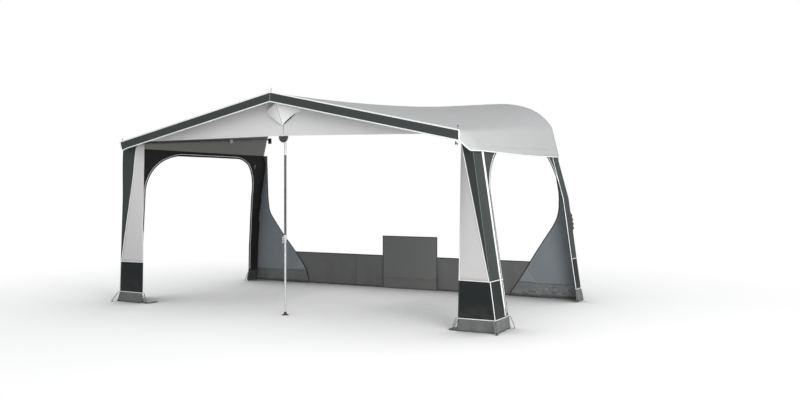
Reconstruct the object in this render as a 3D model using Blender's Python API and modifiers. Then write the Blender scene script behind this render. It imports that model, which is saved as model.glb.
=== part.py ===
"""Caravan awning: a pitched cloth roof with a gable, two front pillars and two arched side walls.

The cloth hangs on a frame of telescopic poles, and its rear edge runs in the rail of a caravan wall.
Metres, +Z up, +X along the wall, -Y to the front. Places are given as (x from the ridge, distance in
front of the wall, height). At the end everything moves so that the origin is at the middle of its box.
"""
import math
from functools import partial

import bmesh
import bpy
from mathutils import Matrix, Vector
from mathutils.geometry import interpolate_bezier

# Fits and cloth
GAP = 0.0003
CLOTH = 0.002
DROP_CLEAR = CLOTH + 4 * GAP
OVERRUN = 0.004

# Roof
ROOF_DEPTH = 2.80
EAVE_HEIGHT = 1.832
PEAK_RISE = 0.451
EAVE_REACH = 2.07
BAND_DROP = 0.088
RAIL_HEIGHT = 2.36
RAIL_FLAT_REACH = 1.375
RAIL_END_SPLAY = 0.110
RAIL_END_HEIGHT = 1.69
RAIL_TOP_HANDLE = 0.722
RAIL_END_HANDLE = 0.229
RAIL_END_LEAN = 0.003
RAIL_SEAM_SHARE = 0.70
ROOF_REAR = 0.006
ROOF_COLUMNS = 14
ROOF_ROWS = 7
DROP_COLUMNS = 4
RAIL_STEPS = 12

# Lower edge of the side drop, from the front corner back to the wall
DROP_FRONT_DROP = 0.088
DROP_FRONT_FLARE = 0.002
DROP_HEM_DROP = 0.172
DROP_TURN_SPLAY = 0.065
DROP_TURN_SETBACK = 0.085
DROP_SIDE_SPLAY = 0.125
DROP_SIDE_SETBACK = 0.20
LEFT_HEM_LIFT = 0.060

# Gable, vent hood and tongue
GABLE_SETBACK = 0.235
GABLE_INSET = 0.086
GABLE_HEM_RISE = 0.028
GABLE_HEM_DIP = 0.034
HOOD_TIP_DROP = 0.306
HOOD_SIDE_REACH = 0.22
HOOD_SIDE_DROP = 0.162
HOOD_SHOULDER_REACH = 0.186
HOOD_SHOULDER_DROP = 0.116
HOOD_PEAK_DROP = 0.093
HOOD_PEAK_PROUD = 0.135
HOOD_TIP_PROUD = 0.022
HOOD_LIP = 0.014
HOOD_COLUMN_SHARES = (0, 0.34, 0.67)
TONGUE_WIDTH = 0.125
TONGUE_DROP = 0.071
TONGUE_TOP_SHARE = 0.3

# Front pillars
PILLAR_TOP_DROP = 0.052
PILLAR_KINK_DROP = 0.182
INNER_TOP_INSET = 0.098
INNER_TOP_SETBACK = 0.285
INNER_FOOT_INSET = 0.110
INNER_FOOT_SETBACK = 0.230
FOLD_KINK_SPLAY = 0.080
FOLD_KINK_SETBACK = 0.136
FOLD_FOOT_INSET = 0.006
FOLD_FOOT_SETBACK = 0.248
DIVIDE_TOP_INSET = 0.068
DIVIDE_TOP_SETBACK = 0.194
DIVIDE_FOOT_INSET = 0.008
BOX_TOP = 0.467
BOX_FOOT = 0.115
SKIRT_SPLAY = 0.020
SKIRT_FOLD = 0.007
SKIRT_WAVES = 2.5
SKIRT_COLUMNS = 9
SKIRT_ROW_SHARES = (0.3, 0.55, 0.8, 1)
PANEL_ROW_SHARES = (0, 0.12, 0.35, 0.6, 0.8, 1)
HEM_STAND = 0.004

# Zip between a pillar and its side wall
ZIP_EDGE = 0.00015
ZIP_KINK_SPLAY = 0.116
ZIP_KINK_SETBACK = 0.281
ZIP_FOOT_SPLAY = 0.271
ZIP_FOOT_SETBACK = 0.522
SLIDER_WIDTH = 0.013
SLIDER_LENGTH = 0.024
SLIDER_THICKNESS = 0.006
SLIDER_FOOT = 0.17
PULL_WIDTH = 0.009
PULL_LENGTH = 0.042
PULL_THICKNESS = 0.002
PULL_STAND_SHARE = 1.1
BRIDGE_RISE_SHARE = 1.4
BRIDGE_TOP_SHARE = 0.7
PULL_TOP_SHARE = 0.6

# Side wall with its arch, and the rear leg beside the wall
WALL_KINK_SPLAY = 0.106
WALL_MIDDLE_SPLAY = 0.230
WALL_MIDDLE_SHARE = 0.7273
WALL_LOW_SPLAY = 0.325
WALL_LOW_SHARE = 0.3030
WALL_HEM_SPLAY = 0.380
WALL_FOOT_SPLAY = 0.405
ARCH_FOOT_SETBACK = 0.580
ARCH_SPRING_SETBACK = 0.388
ARCH_SPRING_DROP = 0.552
LEFT_ARCH_SPRING_SETBACK = 0.494
ARCH_TOP_DROP = 0.112
ARCH_FRONT_WIDTH = 0.48
LEFT_ARCH_FRONT_WIDTH = 0.576
ARCH_REAR_WIDTH = 0.35
ARCH_REAR_DROP = 0.612
LEG_SEAM_TOP = 0.255
LEG_SEAM_FOOT = 0.215
LEG_CREASE_SHARE = 0.5151
ARCH_STEPS = 7
STRAIGHT_STEPS = 5
CORNER_RISE_SHARE = 0.45
CORNER_TOP_SHARE = 0.6
LEFT_LEG_INSET = 0.193
LEFT_LEG_SHARES = ((0.0, 1.0), (0.065, 0.95), (0.28, 0.75), (0.67, 0.55), (0.93, 0.31), (1.0, 0.0))

# From the ridge to the middle of the box
MIDDLE_X = 0.0561

# Cloth in the plane of the wall
FLAP_DEPTH = 0.0205
FLAP_LEFT_SHARES = (
    (0.0, 0.664), (0.062, 0.669), (0.130, 0.697), (0.252, 0.778), (0.365, 0.865), (0.479, 0.940),
    (0.549, 0.987), (0.666, 1.0), (1.0, 1.01))
FLAP_RIGHT_SHARES = (
    (0.0, 0.746), (0.139, 0.830), (0.297, 0.911), (0.425, 0.984), (0.506, 1.031), (0.581, 1.053),
    (0.697, 1.055), (0.843, 1.034), (1.0, 1.007))
FLAP_COLUMNS = 9
MUD_FLAP_HEIGHT = 0.17
MUD_FLAP_FOLD = 0.014
MUD_FLAP_LEAN = 0.143
MUD_FLAP_WAVES = 3
MUD_FADE_SHARE = 1.5
MUD_ROW_SHARES = (0.35, 0.7, 1.35)
DRAUGHT_HEIGHT = 0.428
DRAUGHT_LEFT = -1.90
DRAUGHT_RIGHT = 1.95
DRAUGHT_DEPTH = 0.0102
DRAUGHT_FOLD = 0.0078
DRAUGHT_WAVE = 0.33
DRAUGHT_FLAT = 0.20
DRAUGHT_FADE = 0.15
DRAUGHT_COLUMNS = 78
DRAUGHT_MAIN_SHARE = 0.6
DRAUGHT_SECOND_RATIO = 1.62
DRAUGHT_ROW_SHARES = (0, 0.25, 0.5, 0.75, 1)
WHEEL_COVER_LEFT = -0.206
WHEEL_COVER_RIGHT = 0.590
WHEEL_COVER_HEIGHT = 0.69
WHEEL_COVER_PLEAT_HEIGHT = 0.15
WHEEL_COVER_PLEAT = 0.012
WHEEL_COVER_COLUMNS = 9
PLEAT_ROW_SHARES = (0, 0.5, 0.88, 1, 1.12, 1.6, 3)
PLEAT_CREASE_SHARE = 0.25
PLEAT_BULGE_SHARE = 0.35

# Poles and their fittings
SIDES = 16
SMOOTH_ANGLE = math.radians(40)
MERGE = 0.00001
POLE_RADIUS = 0.0125
POLE_BORE = 0.0116
INNER_RADIUS = 0.0110
INNER_BORE = 0.0100
SPIGOT_RADIUS = 0.0094
SPIGOT_LENGTH = 0.06
FITTING_RADIUS = 0.0170
SLEEVE_LENGTH = 0.050
SPIKE_RADIUS = 0.0030
SPIKE_RISE = 0.045
SPIKE_TIP_RADIUS = 0.0050
EYELET_RADIUS = 0.0065
RUNNING_CLEARANCE = 0.0003
INSERTION = 0.25

# Upright legs
CENTRE_POLE_SETBACK = 0.267
CORNER_POLE_SETBACK = 0.310
CORNER_POLE_INSET = 0.010
CORNER_POLE_TOP_DROP = 0.077
CENTRE_SLEEVE_DROP = 0.620
CENTRE_TOP_INSERTION = 0.16
LEG_CLAMP_HEIGHT = 0.805
TEE_COLLAR_LENGTH = 0.048
TEE_STUB_RADIUS = 0.0145
TEE_STUB_LENGTH = 0.045
TEE_ARM_RADIUS = 0.0120
FOOT_SPAN = 0.070
FOOT_BAR_WIDTH = 0.016
FOOT_BAR_HEIGHT = 0.006
FOOT_SOCKET_RADIUS = 0.0150
FOOT_SOCKET_HEIGHT = 0.032
FOOT_FLOOR = 0.008
FOOT_CROSS_SHARE = 0.9

# Clamps and levers
CLAMP_RADIUS = 0.0175
CLAMP_LENGTH = 0.056
EAR_REACH = 0.034
EAR_THICKNESS = 0.004
EAR_HEIGHT = 0.018
PIVOT_REACH = 0.027
PIN_RADIUS = 0.0020
LEVER_WIDTH = 0.0074
LEVER_BOSS_RADIUS = 0.0060
LEVER_THICKNESS = 0.0060
LEVER_NECK = 0.0140
LEVER_LENGTH = 0.060
LEVER_PADDLE_WIDTH = 0.0160
PIN_END_SHARE = 0.75

# Roof poles
RIDGE_CLAMP_DEPTH = 0.87
SIDE_CLAMP_DEPTH = 0.87
SIDE_POLE_CLEAR = 0.035
SIDE_POLE_STEP_SHARE = 0.01
PAD_WIDTH = 0.050
PAD_HEIGHT = 0.078
PAD_THICKNESS = 0.014
PAD_HEADROOM = 0.0155
PAD_BOSS_RADIUS = 0.0150
PAD_BOSS_LENGTH = 0.020

# Finishes: colour, roughness, metallic
CHARCOAL = ((0.058, 0.069, 0.067), 0.85, 0.0)
BOX_BLACK = ((0.032, 0.035, 0.035), 0.85, 0.0)
LIGHT_GREY = ((0.610, 0.597, 0.597), 0.80, 0.0)
GABLE_GREY = ((0.578, 0.578, 0.578), 0.80, 0.0)
ROOF_GREY = ((0.440, 0.450, 0.446), 0.70, 0.0)
SKIRT_GREY = ((0.171, 0.178, 0.175), 0.60, 0.0)
FLAP_BLUE = ((0.105, 0.120, 0.136), 0.65, 0.0)
DRAUGHT_GREY = ((0.110, 0.112, 0.112), 0.70, 0.0)
WHITE_CLOTH = ((0.850, 0.850, 0.850), 0.75, 0.0)
TONGUE_DARK = ((0.070, 0.066, 0.074), 0.85, 0.0)
PALE_PLASTIC = ((0.620, 0.640, 0.640), 0.45, 0.0)
BLACK_PLASTIC = ((0.030, 0.030, 0.031), 0.50, 0.0)
ZINC = ((0.620, 0.630, 0.640), 0.38, 1.0)
DARK_STEEL = ((0.090, 0.095, 0.098), 0.45, 0.6)

# The front band stands half a cloth in front of the roof's depth, so the middle of the box is there
WALL_Y = (ROOF_DEPTH + CLOTH / 2) / 2
PEAK_HEIGHT = EAVE_HEIGHT + PEAK_RISE
GABLE_REACH = EAVE_REACH - GABLE_INSET
INNER_TOP_REACH = EAVE_REACH - INNER_TOP_INSET
INNER_FOOT_REACH = EAVE_REACH - INNER_FOOT_INSET
FOLD_KINK_REACH = EAVE_REACH + FOLD_KINK_SPLAY
DIVIDE_TOP_REACH = EAVE_REACH - DIVIDE_TOP_INSET
ZIP_KINK_REACH = EAVE_REACH + ZIP_KINK_SPLAY
ZIP_FOOT_REACH = EAVE_REACH + ZIP_FOOT_SPLAY
DROP_TURN_REACH = EAVE_REACH + DROP_TURN_SPLAY
DROP_SIDE_REACH = EAVE_REACH + DROP_SIDE_SPLAY
WALL_KINK_REACH = EAVE_REACH + WALL_KINK_SPLAY
WALL_MIDDLE_REACH = EAVE_REACH + WALL_MIDDLE_SPLAY
WALL_LOW_REACH = EAVE_REACH + WALL_LOW_SPLAY
WALL_HEM_REACH = EAVE_REACH + WALL_HEM_SPLAY
WALL_FOOT_REACH = EAVE_REACH + WALL_FOOT_SPLAY
CORNER_POLE_REACH = EAVE_REACH - CORNER_POLE_INSET
RAIL_END_REACH = EAVE_REACH + RAIL_END_SPLAY
FOLD_FOOT_REACH = ZIP_FOOT_REACH - FOLD_FOOT_INSET
INNER_TOP_DEPTH = ROOF_DEPTH - INNER_TOP_SETBACK
INNER_FOOT_DEPTH = ROOF_DEPTH - INNER_FOOT_SETBACK
FOLD_KINK_DEPTH = ROOF_DEPTH - FOLD_KINK_SETBACK
FOLD_FOOT_DEPTH = ROOF_DEPTH - FOLD_FOOT_SETBACK
DIVIDE_TOP_DEPTH = ROOF_DEPTH - DIVIDE_TOP_SETBACK
ZIP_KINK_DEPTH = ROOF_DEPTH - ZIP_KINK_SETBACK
ZIP_FOOT_DEPTH = ROOF_DEPTH - ZIP_FOOT_SETBACK
ARCH_FOOT_DEPTH = ROOF_DEPTH - ARCH_FOOT_SETBACK
ARCH_SPRING_DEPTH = ROOF_DEPTH - ARCH_SPRING_SETBACK
LEFT_ARCH_SPRING_DEPTH = ROOF_DEPTH - LEFT_ARCH_SPRING_SETBACK
CENTRE_POLE_DEPTH = ROOF_DEPTH - CENTRE_POLE_SETBACK
CORNER_POLE_DEPTH = ROOF_DEPTH - CORNER_POLE_SETBACK
HOOD_TIP_HEIGHT = PEAK_HEIGHT - HOOD_TIP_DROP
HOOD_SIDE_HEIGHT = PEAK_HEIGHT - HOOD_SIDE_DROP
HOOD_SHOULDER_HEIGHT = PEAK_HEIGHT - HOOD_SHOULDER_DROP
HOOD_PEAK_HEIGHT = PEAK_HEIGHT - HOOD_PEAK_DROP
DROP_FRONT_HEIGHT = EAVE_HEIGHT - DROP_FRONT_DROP
DROP_HEM_HEIGHT = EAVE_HEIGHT - DROP_HEM_DROP
PILLAR_TOP = EAVE_HEIGHT - PILLAR_TOP_DROP
PILLAR_KINK = EAVE_HEIGHT - PILLAR_KINK_DROP
ARCH_TOP = EAVE_HEIGHT - ARCH_TOP_DROP
CORNER_POLE_TOP = EAVE_HEIGHT - CORNER_POLE_TOP_DROP
GABLE_HEM_HEIGHT = EAVE_HEIGHT + GABLE_HEM_RISE
CENTRE_SLEEVE_TOP = PEAK_HEIGHT - CENTRE_SLEEVE_DROP
WALL_MIDDLE_HEIGHT = PILLAR_KINK * WALL_MIDDLE_SHARE
WALL_LOW_HEIGHT = PILLAR_KINK * WALL_LOW_SHARE
ARCH_SPRING_HEIGHT = EAVE_HEIGHT - ARCH_SPRING_DROP
ARCH_REAR_HEIGHT = EAVE_HEIGHT - ARCH_REAR_DROP
FLAP_TOP = PILLAR_TOP
FRAME_CLEAR = CLAMP_RADIUS + CLOTH / 2 + GAP
FRAME_DEPTH = ROOF_DEPTH - FRAME_CLEAR
SEAM = CLOTH / 2
GABLE_DEPTH = ROOF_DEPTH - GABLE_SETBACK
LIGHT_PANEL_TOP = GABLE_HEM_HEIGHT - GABLE_HEM_DIP - 2 * GAP
FLAP_FRONT = FLAP_DEPTH + CLOTH / 2 + GAP


def collection(name):
    found = bpy.data.collections.new(name)
    bpy.context.scene.collection.children.link(found)
    return found


for old in list(bpy.data.objects):
    bpy.data.objects.remove(old, do_unlink=True)
PARTS = collection("caravan_awning")
CUTTERS = collection("awning_cutters")


def at(x, depth, height):
    """The point at x along the wall, a distance in front of it, and a height over the ground."""
    return Vector((x, WALL_Y - depth, height))


def mix(low, high, share):
    return low + (high - low) * share


def along(table, value):
    """Read a table of (value, result) pairs, in rising order, with straight lines between them."""
    for (low, first), (high, second) in zip(table, table[1:]):
        if value <= high:
            return mix(first, second, (value - low) / (high - low))
    return table[-1][1]


def spread(low, high, steps):
    return [mix(low, high, step / steps) for step in range(steps + 1)]


def finish(name, look):
    colour, roughness, metallic = look
    material = bpy.data.materials.new(name + "_finish")
    material.use_nodes = True
    shader = material.node_tree.nodes["Principled BSDF"]
    shader.inputs["Base Color"].default_value = (*colour, 1.0)
    shader.inputs["Roughness"].default_value = roughness
    shader.inputs["Metallic"].default_value = metallic
    return material


def new_part(name, data, look, frame=Matrix.Identity(4)):
    part = bpy.data.objects.new(name, data)
    PARTS.objects.link(part)
    part.matrix_world = frame
    data.materials.append(finish(name, look))
    return part


def cloth_panel(name, rows, look):
    """An open surface through rows of points, made into cloth by Solidify about the middle."""
    mesh = bpy.data.meshes.new(name)
    shape = bmesh.new()
    grid = [[shape.verts.new(point) for point in row] for row in rows]
    for lower, upper in zip(grid, grid[1:]):
        for corners in zip(lower, lower[1:], upper[1:], upper):
            shape.faces.new(corners)
    shape.to_mesh(mesh)
    shape.free()
    part = new_part(name, mesh, look)
    solid = part.modifiers.new("cloth", "SOLIDIFY")
    solid.thickness = CLOTH
    solid.offset = 0
    solid.use_even_offset = True
    return part


def upright_plate(name, outline, origin, look):
    """Flat cloth parallel to the wall: a closed outline of (x, height), extruded by half a cloth."""
    curve = bpy.data.curves.new(name, "CURVE")
    curve.dimensions = "2D"
    curve.fill_mode = "BOTH"
    curve.extrude = CLOTH / 2
    spline = curve.splines.new("POLY")
    spline.points.add(len(outline) - 1)
    for point, (x, height) in zip(spline.points, outline):
        point.co = (x, height, 0, 1)
    spline.use_cyclic_u = True
    frame = Matrix.Translation(origin) @ Matrix.Rotation(math.pi / 2, 4, "X")
    return new_part(name, curve, look, frame)


def frame_at(origin, z_axis, x_hint):
    """A frame with its Z along one direction and its X as near as can be to another."""
    z_axis = z_axis.normalized()
    x_axis = (x_hint - x_hint.dot(z_axis) * z_axis).normalized()
    y_axis = z_axis.cross(x_axis)
    turn = Matrix((x_axis, y_axis, z_axis)).transposed().to_4x4()
    return Matrix.Translation(origin) @ turn


def rod(start, end, radius, tip_radius=None):
    """A closed round bar between two points, as a bmesh."""
    shape = bmesh.new()
    run = end - start
    turn = run.to_track_quat("Z", "Y").to_matrix().to_4x4()
    bmesh.ops.create_cone(
        shape, cap_ends=True, segments=SIDES, radius1=radius,
        radius2=radius if tip_radius is None else tip_radius, depth=run.length,
        matrix=Matrix.Translation((start + end) / 2) @ turn)
    return shape


def box(low, high):
    """A closed box between two corners, as a bmesh."""
    shape = bmesh.new()
    middle = (low + high) / 2
    size = Matrix.Diagonal((*(high - low), 1))
    bmesh.ops.create_cube(shape, size=1, matrix=Matrix.Translation(middle) @ size)
    return shape


def ball(centre, radius):
    """A ball, turned by half a side so that its corners miss those of an upright bar."""
    shape = bmesh.new()
    bmesh.ops.create_uvsphere(
        shape, u_segments=SIDES, v_segments=SIDES // 2, radius=radius,
        matrix=Matrix.Translation(centre) @ Matrix.Rotation(math.pi / SIDES, 4, "Z"))
    return shape


def to_mesh(name, shape):
    mesh = bpy.data.meshes.new(name)
    shape.to_mesh(mesh)
    shape.free()
    mesh.shade_smooth()
    mesh.set_sharp_from_angle(angle=SMOOTH_ANGLE)
    return mesh


def cutter(name, shape, frame):
    helper = bpy.data.objects.new(name, to_mesh(name, shape))
    CUTTERS.objects.link(helper)
    helper.matrix_world = frame
    helper.hide_render = True
    helper.display_type = "WIRE"
    return helper


def work(part, kind, shapes):
    """Join shapes to a part, or cut them from it, in the part's own frame."""
    for number, shape in enumerate(shapes):
        tool = cutter(f"{part.name}_{kind}_{number}", shape, part.matrix_world)
        step = part.modifiers.new(kind, "BOOLEAN")
        step.operation = "UNION" if kind == "join" else "DIFFERENCE"
        step.solver = "EXACT"
        step.object = tool


def fitting(name, look, frame, joins, cuts=()):
    """A moulded piece: the first shape with the others joined to it, then the cuts taken out."""
    part = new_part(name, to_mesh(name, joins[0]), look, frame)
    work(part, "join", joins[1:])
    work(part, "cut", cuts)
    return part


def tube(name, start, end, look, radius, bore):
    """A round tube from start to end, turned from its wall's profile."""
    length = (end - start).length
    mesh = bpy.data.meshes.new(name)
    profile = bmesh.new()
    corners = [(radius, length), (radius, 0), (bore, 0), (bore, length)]
    ring = [profile.verts.new((x, 0, z)) for x, z in corners]
    for first, second in zip(ring, ring[1:] + ring[:1]):
        profile.edges.new((first, second))
    profile.to_mesh(mesh)
    profile.free()
    turn = (end - start).to_track_quat("Z", "Y").to_matrix().to_4x4()
    part = new_part(name, mesh, look, Matrix.Translation(start) @ turn)
    screw = part.modifiers.new("turn", "SCREW")
    screw.steps = SIDES
    screw.render_steps = SIDES
    screw.use_merge_vertices = True
    screw.merge_threshold = MERGE
    screw.use_smooth_shade = False
    return part


# The roof's surface: straight threads from the front profile to the rail profile

def rail_curve():
    """The rail from the end of its flat top down to its low end, as (x, height)."""
    start = Vector((RAIL_FLAT_REACH, RAIL_HEIGHT, 0))
    end = Vector((RAIL_END_REACH, RAIL_END_HEIGHT, 0))
    lean = Vector((-math.sin(RAIL_END_LEAN), math.cos(RAIL_END_LEAN), 0))
    first = start + Vector((RAIL_TOP_HANDLE, 0, 0))
    second = end + lean * RAIL_END_HANDLE
    points = interpolate_bezier(start, first, second, end, RAIL_STEPS * 2 + 1)
    return [Vector(point[:2]) for point in points]


RAIL = [Vector((0, RAIL_HEIGHT))] + rail_curve()


def rail_point(share):
    """The point at a share of the rail's length from the ridge to the low end."""
    lengths = [0]
    for first, second in zip(RAIL, RAIL[1:]):
        lengths.append(lengths[-1] + (second - first).length)
    return along(list(zip(lengths, RAIL)), share * lengths[-1])


def rail_length_share():
    """The share of the rail's length at which the roof's seam with the side drop ends."""
    flat = RAIL_FLAT_REACH
    curved = sum((second - first).length for first, second in zip(RAIL[1:], RAIL[2:]))
    return (flat + RAIL_SEAM_SHARE * curved) / (flat + curved)


SEAM_SHARE = rail_length_share()


def roof_point(side, across, depth):
    """Across is 0 at the ridge and 1 at the seam with the side drop."""
    front = Vector((EAVE_REACH * across, mix(PEAK_HEIGHT, EAVE_HEIGHT, across)))
    rear = rail_point(SEAM_SHARE * across)
    place = front.lerp(rear, 1 - depth / ROOF_DEPTH)
    return at(side * place.x, depth, place.y)


def drop_hem(depth):
    """The lower edge of the side drop at a distance in front of the wall, as (x, height)."""
    front = ROOF_DEPTH - SEAM
    edge = (
        (0, Vector((RAIL_END_REACH, RAIL_END_HEIGHT))),
        (ROOF_DEPTH / 2, Vector((DROP_SIDE_REACH, DROP_HEM_HEIGHT + CLOTH))),
        (ROOF_DEPTH - DROP_SIDE_SETBACK, Vector((DROP_SIDE_REACH, DROP_HEM_HEIGHT))),
        (ROOF_DEPTH - DROP_TURN_SETBACK, Vector((DROP_TURN_REACH, DROP_HEM_HEIGHT))),
        (front, Vector((EAVE_REACH + DROP_FRONT_FLARE, DROP_FRONT_HEIGHT))),
    )
    return along(edge, depth)


def drop_point(side, share, depth):
    """Share is 0 at the roof's seam and 1 at the hem of the side drop."""
    seam = roof_point(1, 1, depth)
    place = Vector((seam.x, seam.z)).lerp(drop_hem(depth), share)
    return at(side * place.x, depth, place.y)


def left_drop_share(depth):
    """How far down the left side drop reaches, against the right one, whose hem hangs lower."""
    fall = drop_point(1, 0, depth).z - drop_point(1, 1, depth).z
    lift = LEFT_HEM_LIFT * max(0, min(1, (ROOF_DEPTH - SEAM - depth) / DROP_TURN_SETBACK))
    return 1 - lift / fall


def under_drop(side, depth, height=PILLAR_TOP):
    """A point of the side wall's top edge, just inside the side drop."""
    seam = drop_point(1, 0, depth)
    hem = drop_point(1, 1, depth)
    fall = hem - seam
    inward = Vector((fall.z, 0, -fall.x)).normalized()
    point = seam + fall * ((height - seam.z) / fall.z) + inward * DROP_CLEAR
    return Vector((side * point.x, point.y, point.z))


def roof():
    """One sewn canopy from the left hem over the ridge to the right hem, with three eyelets."""
    front = ROOF_DEPTH - SEAM - GAP
    full = ROOF_DEPTH - DROP_SIDE_SETBACK
    turn = ROOF_DEPTH - DROP_TURN_SETBACK
    bends = [ROOF_DEPTH / 2, GABLE_DEPTH, (full + turn) / 2, turn, front]
    depths = sorted(spread(ROOF_REAR, full, ROOF_ROWS) + bends)
    rows = []
    for depth in depths:
        shares = spread(1, 0, DROP_COLUMNS)[:-1]
        left = [drop_point(-1, left_drop_share(depth) * share, depth) for share in shares]
        left += [roof_point(-1, across, depth) for across in spread(1, 0, ROOF_COLUMNS)]
        right = [roof_point(1, across, depth) for across in spread(0, 1, ROOF_COLUMNS)[1:]]
        right += [drop_point(1, share, depth) for share in shares[::-1]]
        rows.append(left + right)
    canopy = cloth_panel("roof", rows, ROOF_GREY)
    corner = EAVE_REACH - FRAME_CLEAR
    low, high = EAVE_HEIGHT - BAND_DROP, PEAK_HEIGHT + BAND_DROP
    eyelets = [
        rod(at(x, FRAME_DEPTH, low), at(x, FRAME_DEPTH, high), EYELET_RADIUS)
        for x in (-corner, 0, corner)]
    work(canopy, "cut", eyelets)


def front_band():
    """The charcoal band along the roof's front edge, bent at the peak."""
    top = CLOTH / 2
    low = EAVE_HEIGHT - BAND_DROP
    outline = [
        (-EAVE_REACH, EAVE_HEIGHT + top), (0, PEAK_HEIGHT + top), (EAVE_REACH, EAVE_HEIGHT + top),
        (EAVE_REACH, low), (0, PEAK_HEIGHT - BAND_DROP), (-EAVE_REACH, low)]
    upright_plate("front_band", outline, at(0, ROOF_DEPTH, 0), CHARCOAL)


def ridge_axis(depth):
    """The centre line of the ridge pole, a fitting's clearance under the ridge."""
    slope = math.atan2(PEAK_HEIGHT - EAVE_HEIGHT, EAVE_REACH)
    roof_height = mix(RAIL_HEIGHT, PEAK_HEIGHT, depth / ROOF_DEPTH)
    return at(0, depth, roof_height - FRAME_CLEAR / math.cos(slope))


def gable():
    """The upright cloth under the roof, set back from the band, notched over the ridge pole."""
    shy = CLOTH / 2 + 2 * GAP
    right = []
    for across in spread(0, 1, ROOF_COLUMNS):
        point = roof_point(1, across, GABLE_DEPTH)
        if POLE_RADIUS * 2 < point.x < GABLE_REACH:
            right.append((point.x, point.z - shy))
    edge = roof_point(1, GABLE_REACH / EAVE_REACH, GABLE_DEPTH)
    right.append((GABLE_REACH, edge.z - shy * 2))
    left = [(-x, z) for x, z in reversed(right)]
    peak = roof_point(1, 0, GABLE_DEPTH).z
    notch = POLE_RADIUS + CLOTH
    slope = (PEAK_HEIGHT - EAVE_HEIGHT) / EAVE_REACH
    top = peak - shy - notch * slope
    floor = ridge_axis(GABLE_DEPTH).z - notch
    pass_through = [(-notch, top), (-notch, floor), (notch, floor), (notch, top)]
    hem = [
        (GABLE_REACH, GABLE_HEM_HEIGHT - GABLE_HEM_DIP),
        (GABLE_REACH / 3, GABLE_HEM_HEIGHT - GABLE_HEM_DIP / 3), (TONGUE_WIDTH, GABLE_HEM_HEIGHT),
        (-TONGUE_WIDTH, GABLE_HEM_HEIGHT), (-GABLE_REACH, GABLE_HEM_HEIGHT - GABLE_HEM_DIP / 4)]
    upright_plate("gable_panel", left + pass_through + right + hem, at(0, GABLE_DEPTH, 0), GABLE_GREY)


def vent_hood():
    """Two facets that stand out of the gable under the peak, open at the top and along their lips."""
    foot = GABLE_DEPTH + CLOTH + 2 * GAP
    rows = []
    for share in spread(0, 1, 4):
        middle = at(0, mix(foot + HOOD_TIP_PROUD, foot + HOOD_PEAK_PROUD, share),
                    mix(HOOD_TIP_HEIGHT, HOOD_PEAK_HEIGHT, share))
        row = []
        for side in (-1, 1):
            bow = HOOD_LIP * math.sin(math.pi * share) + HOOD_TIP_PROUD * (1 - share)
            edge = at(side * mix(CLOTH, HOOD_SIDE_REACH, share), foot + bow,
                      mix(HOOD_TIP_HEIGHT, HOOD_SIDE_HEIGHT, share))
            row.append([edge.lerp(middle, part) for part in HOOD_COLUMN_SHARES])
        rows.append(row[0] + [middle] + row[1][::-1])
    shoulder = []
    for side in (-1, 1):
        edge = at(side * HOOD_SHOULDER_REACH, foot, HOOD_SHOULDER_HEIGHT)
        crown = at(0, foot + HOOD_PEAK_PROUD, HOOD_PEAK_HEIGHT + CLOTH)
        shoulder.append([edge.lerp(crown, part) for part in HOOD_COLUMN_SHARES] + [crown])
    rows.append(shoulder[0] + shoulder[1][-2::-1])
    cloth_panel("vent_hood", rows, WHITE_CLOTH)


def tongue():
    """The small D-shaped flap that hangs from the gable's hem in front of the centre pole."""
    hinge_height = GABLE_HEM_HEIGHT - CLOTH / 2 - GAP
    top = CLOTH * TONGUE_TOP_SHARE
    half = TONGUE_WIDTH / 2
    round_drop = TONGUE_DROP - half if TONGUE_DROP > half else 0
    radius_z = TONGUE_DROP - round_drop
    arc = [math.pi * step / SIDES for step in range(SIDES + 1)]
    outline = [(half, top)]
    outline += [(half * math.cos(turn), -round_drop - radius_z * math.sin(turn)) for turn in arc]
    outline += [(-half, top)]
    upright_plate("pole_tongue", outline, at(0, GABLE_DEPTH, hinge_height), TONGUE_DARK)


# The pillars' lines, for the right-hand side

def inner_line(height):
    share = 1 - height / LIGHT_PANEL_TOP
    return at(mix(INNER_TOP_REACH, INNER_FOOT_REACH, share),
              mix(INNER_TOP_DEPTH, INNER_FOOT_DEPTH, share), height)


def kinked_line(kink_reach, kink_depth, foot_reach, foot_depth, height):
    """A straight line up to the kink, then in under the side drop to the top."""
    if height <= PILLAR_KINK:
        share = height / PILLAR_KINK
        return at(mix(foot_reach, kink_reach, share), mix(foot_depth, kink_depth, share), height)
    kink = at(kink_reach, kink_depth, PILLAR_KINK)
    share = (height - PILLAR_KINK) / (PILLAR_TOP - PILLAR_KINK)
    return kink.lerp(under_drop(1, kink_depth), share)


def fold_line(height):
    return kinked_line(FOLD_KINK_REACH, FOLD_KINK_DEPTH, FOLD_FOOT_REACH, FOLD_FOOT_DEPTH, height)


def zip_line(height):
    return kinked_line(ZIP_KINK_REACH, ZIP_KINK_DEPTH, ZIP_FOOT_REACH, ZIP_FOOT_DEPTH, height)


def divide_line(height):
    """The seam on the pillar's front between its light and its charcoal cloth."""
    foot = fold_line(BOX_TOP) + Vector((-DIVIDE_FOOT_INSET, 0, 0))
    top = at(DIVIDE_TOP_REACH, DIVIDE_TOP_DEPTH, PILLAR_TOP)
    return foot.lerp(top, (height - BOX_TOP) / (PILLAR_TOP - BOX_TOP))


def depth_of(point):
    return WALL_Y - point.y


def wall_reach(height):
    """Where the side wall meets the caravan's wall."""
    return along((
        (0, WALL_FOOT_REACH), (BOX_FOOT, WALL_HEM_REACH), (WALL_LOW_HEIGHT, WALL_LOW_REACH),
        (WALL_MIDDLE_HEIGHT, WALL_MIDDLE_REACH), (PILLAR_KINK, WALL_KINK_REACH)), height)


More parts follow.
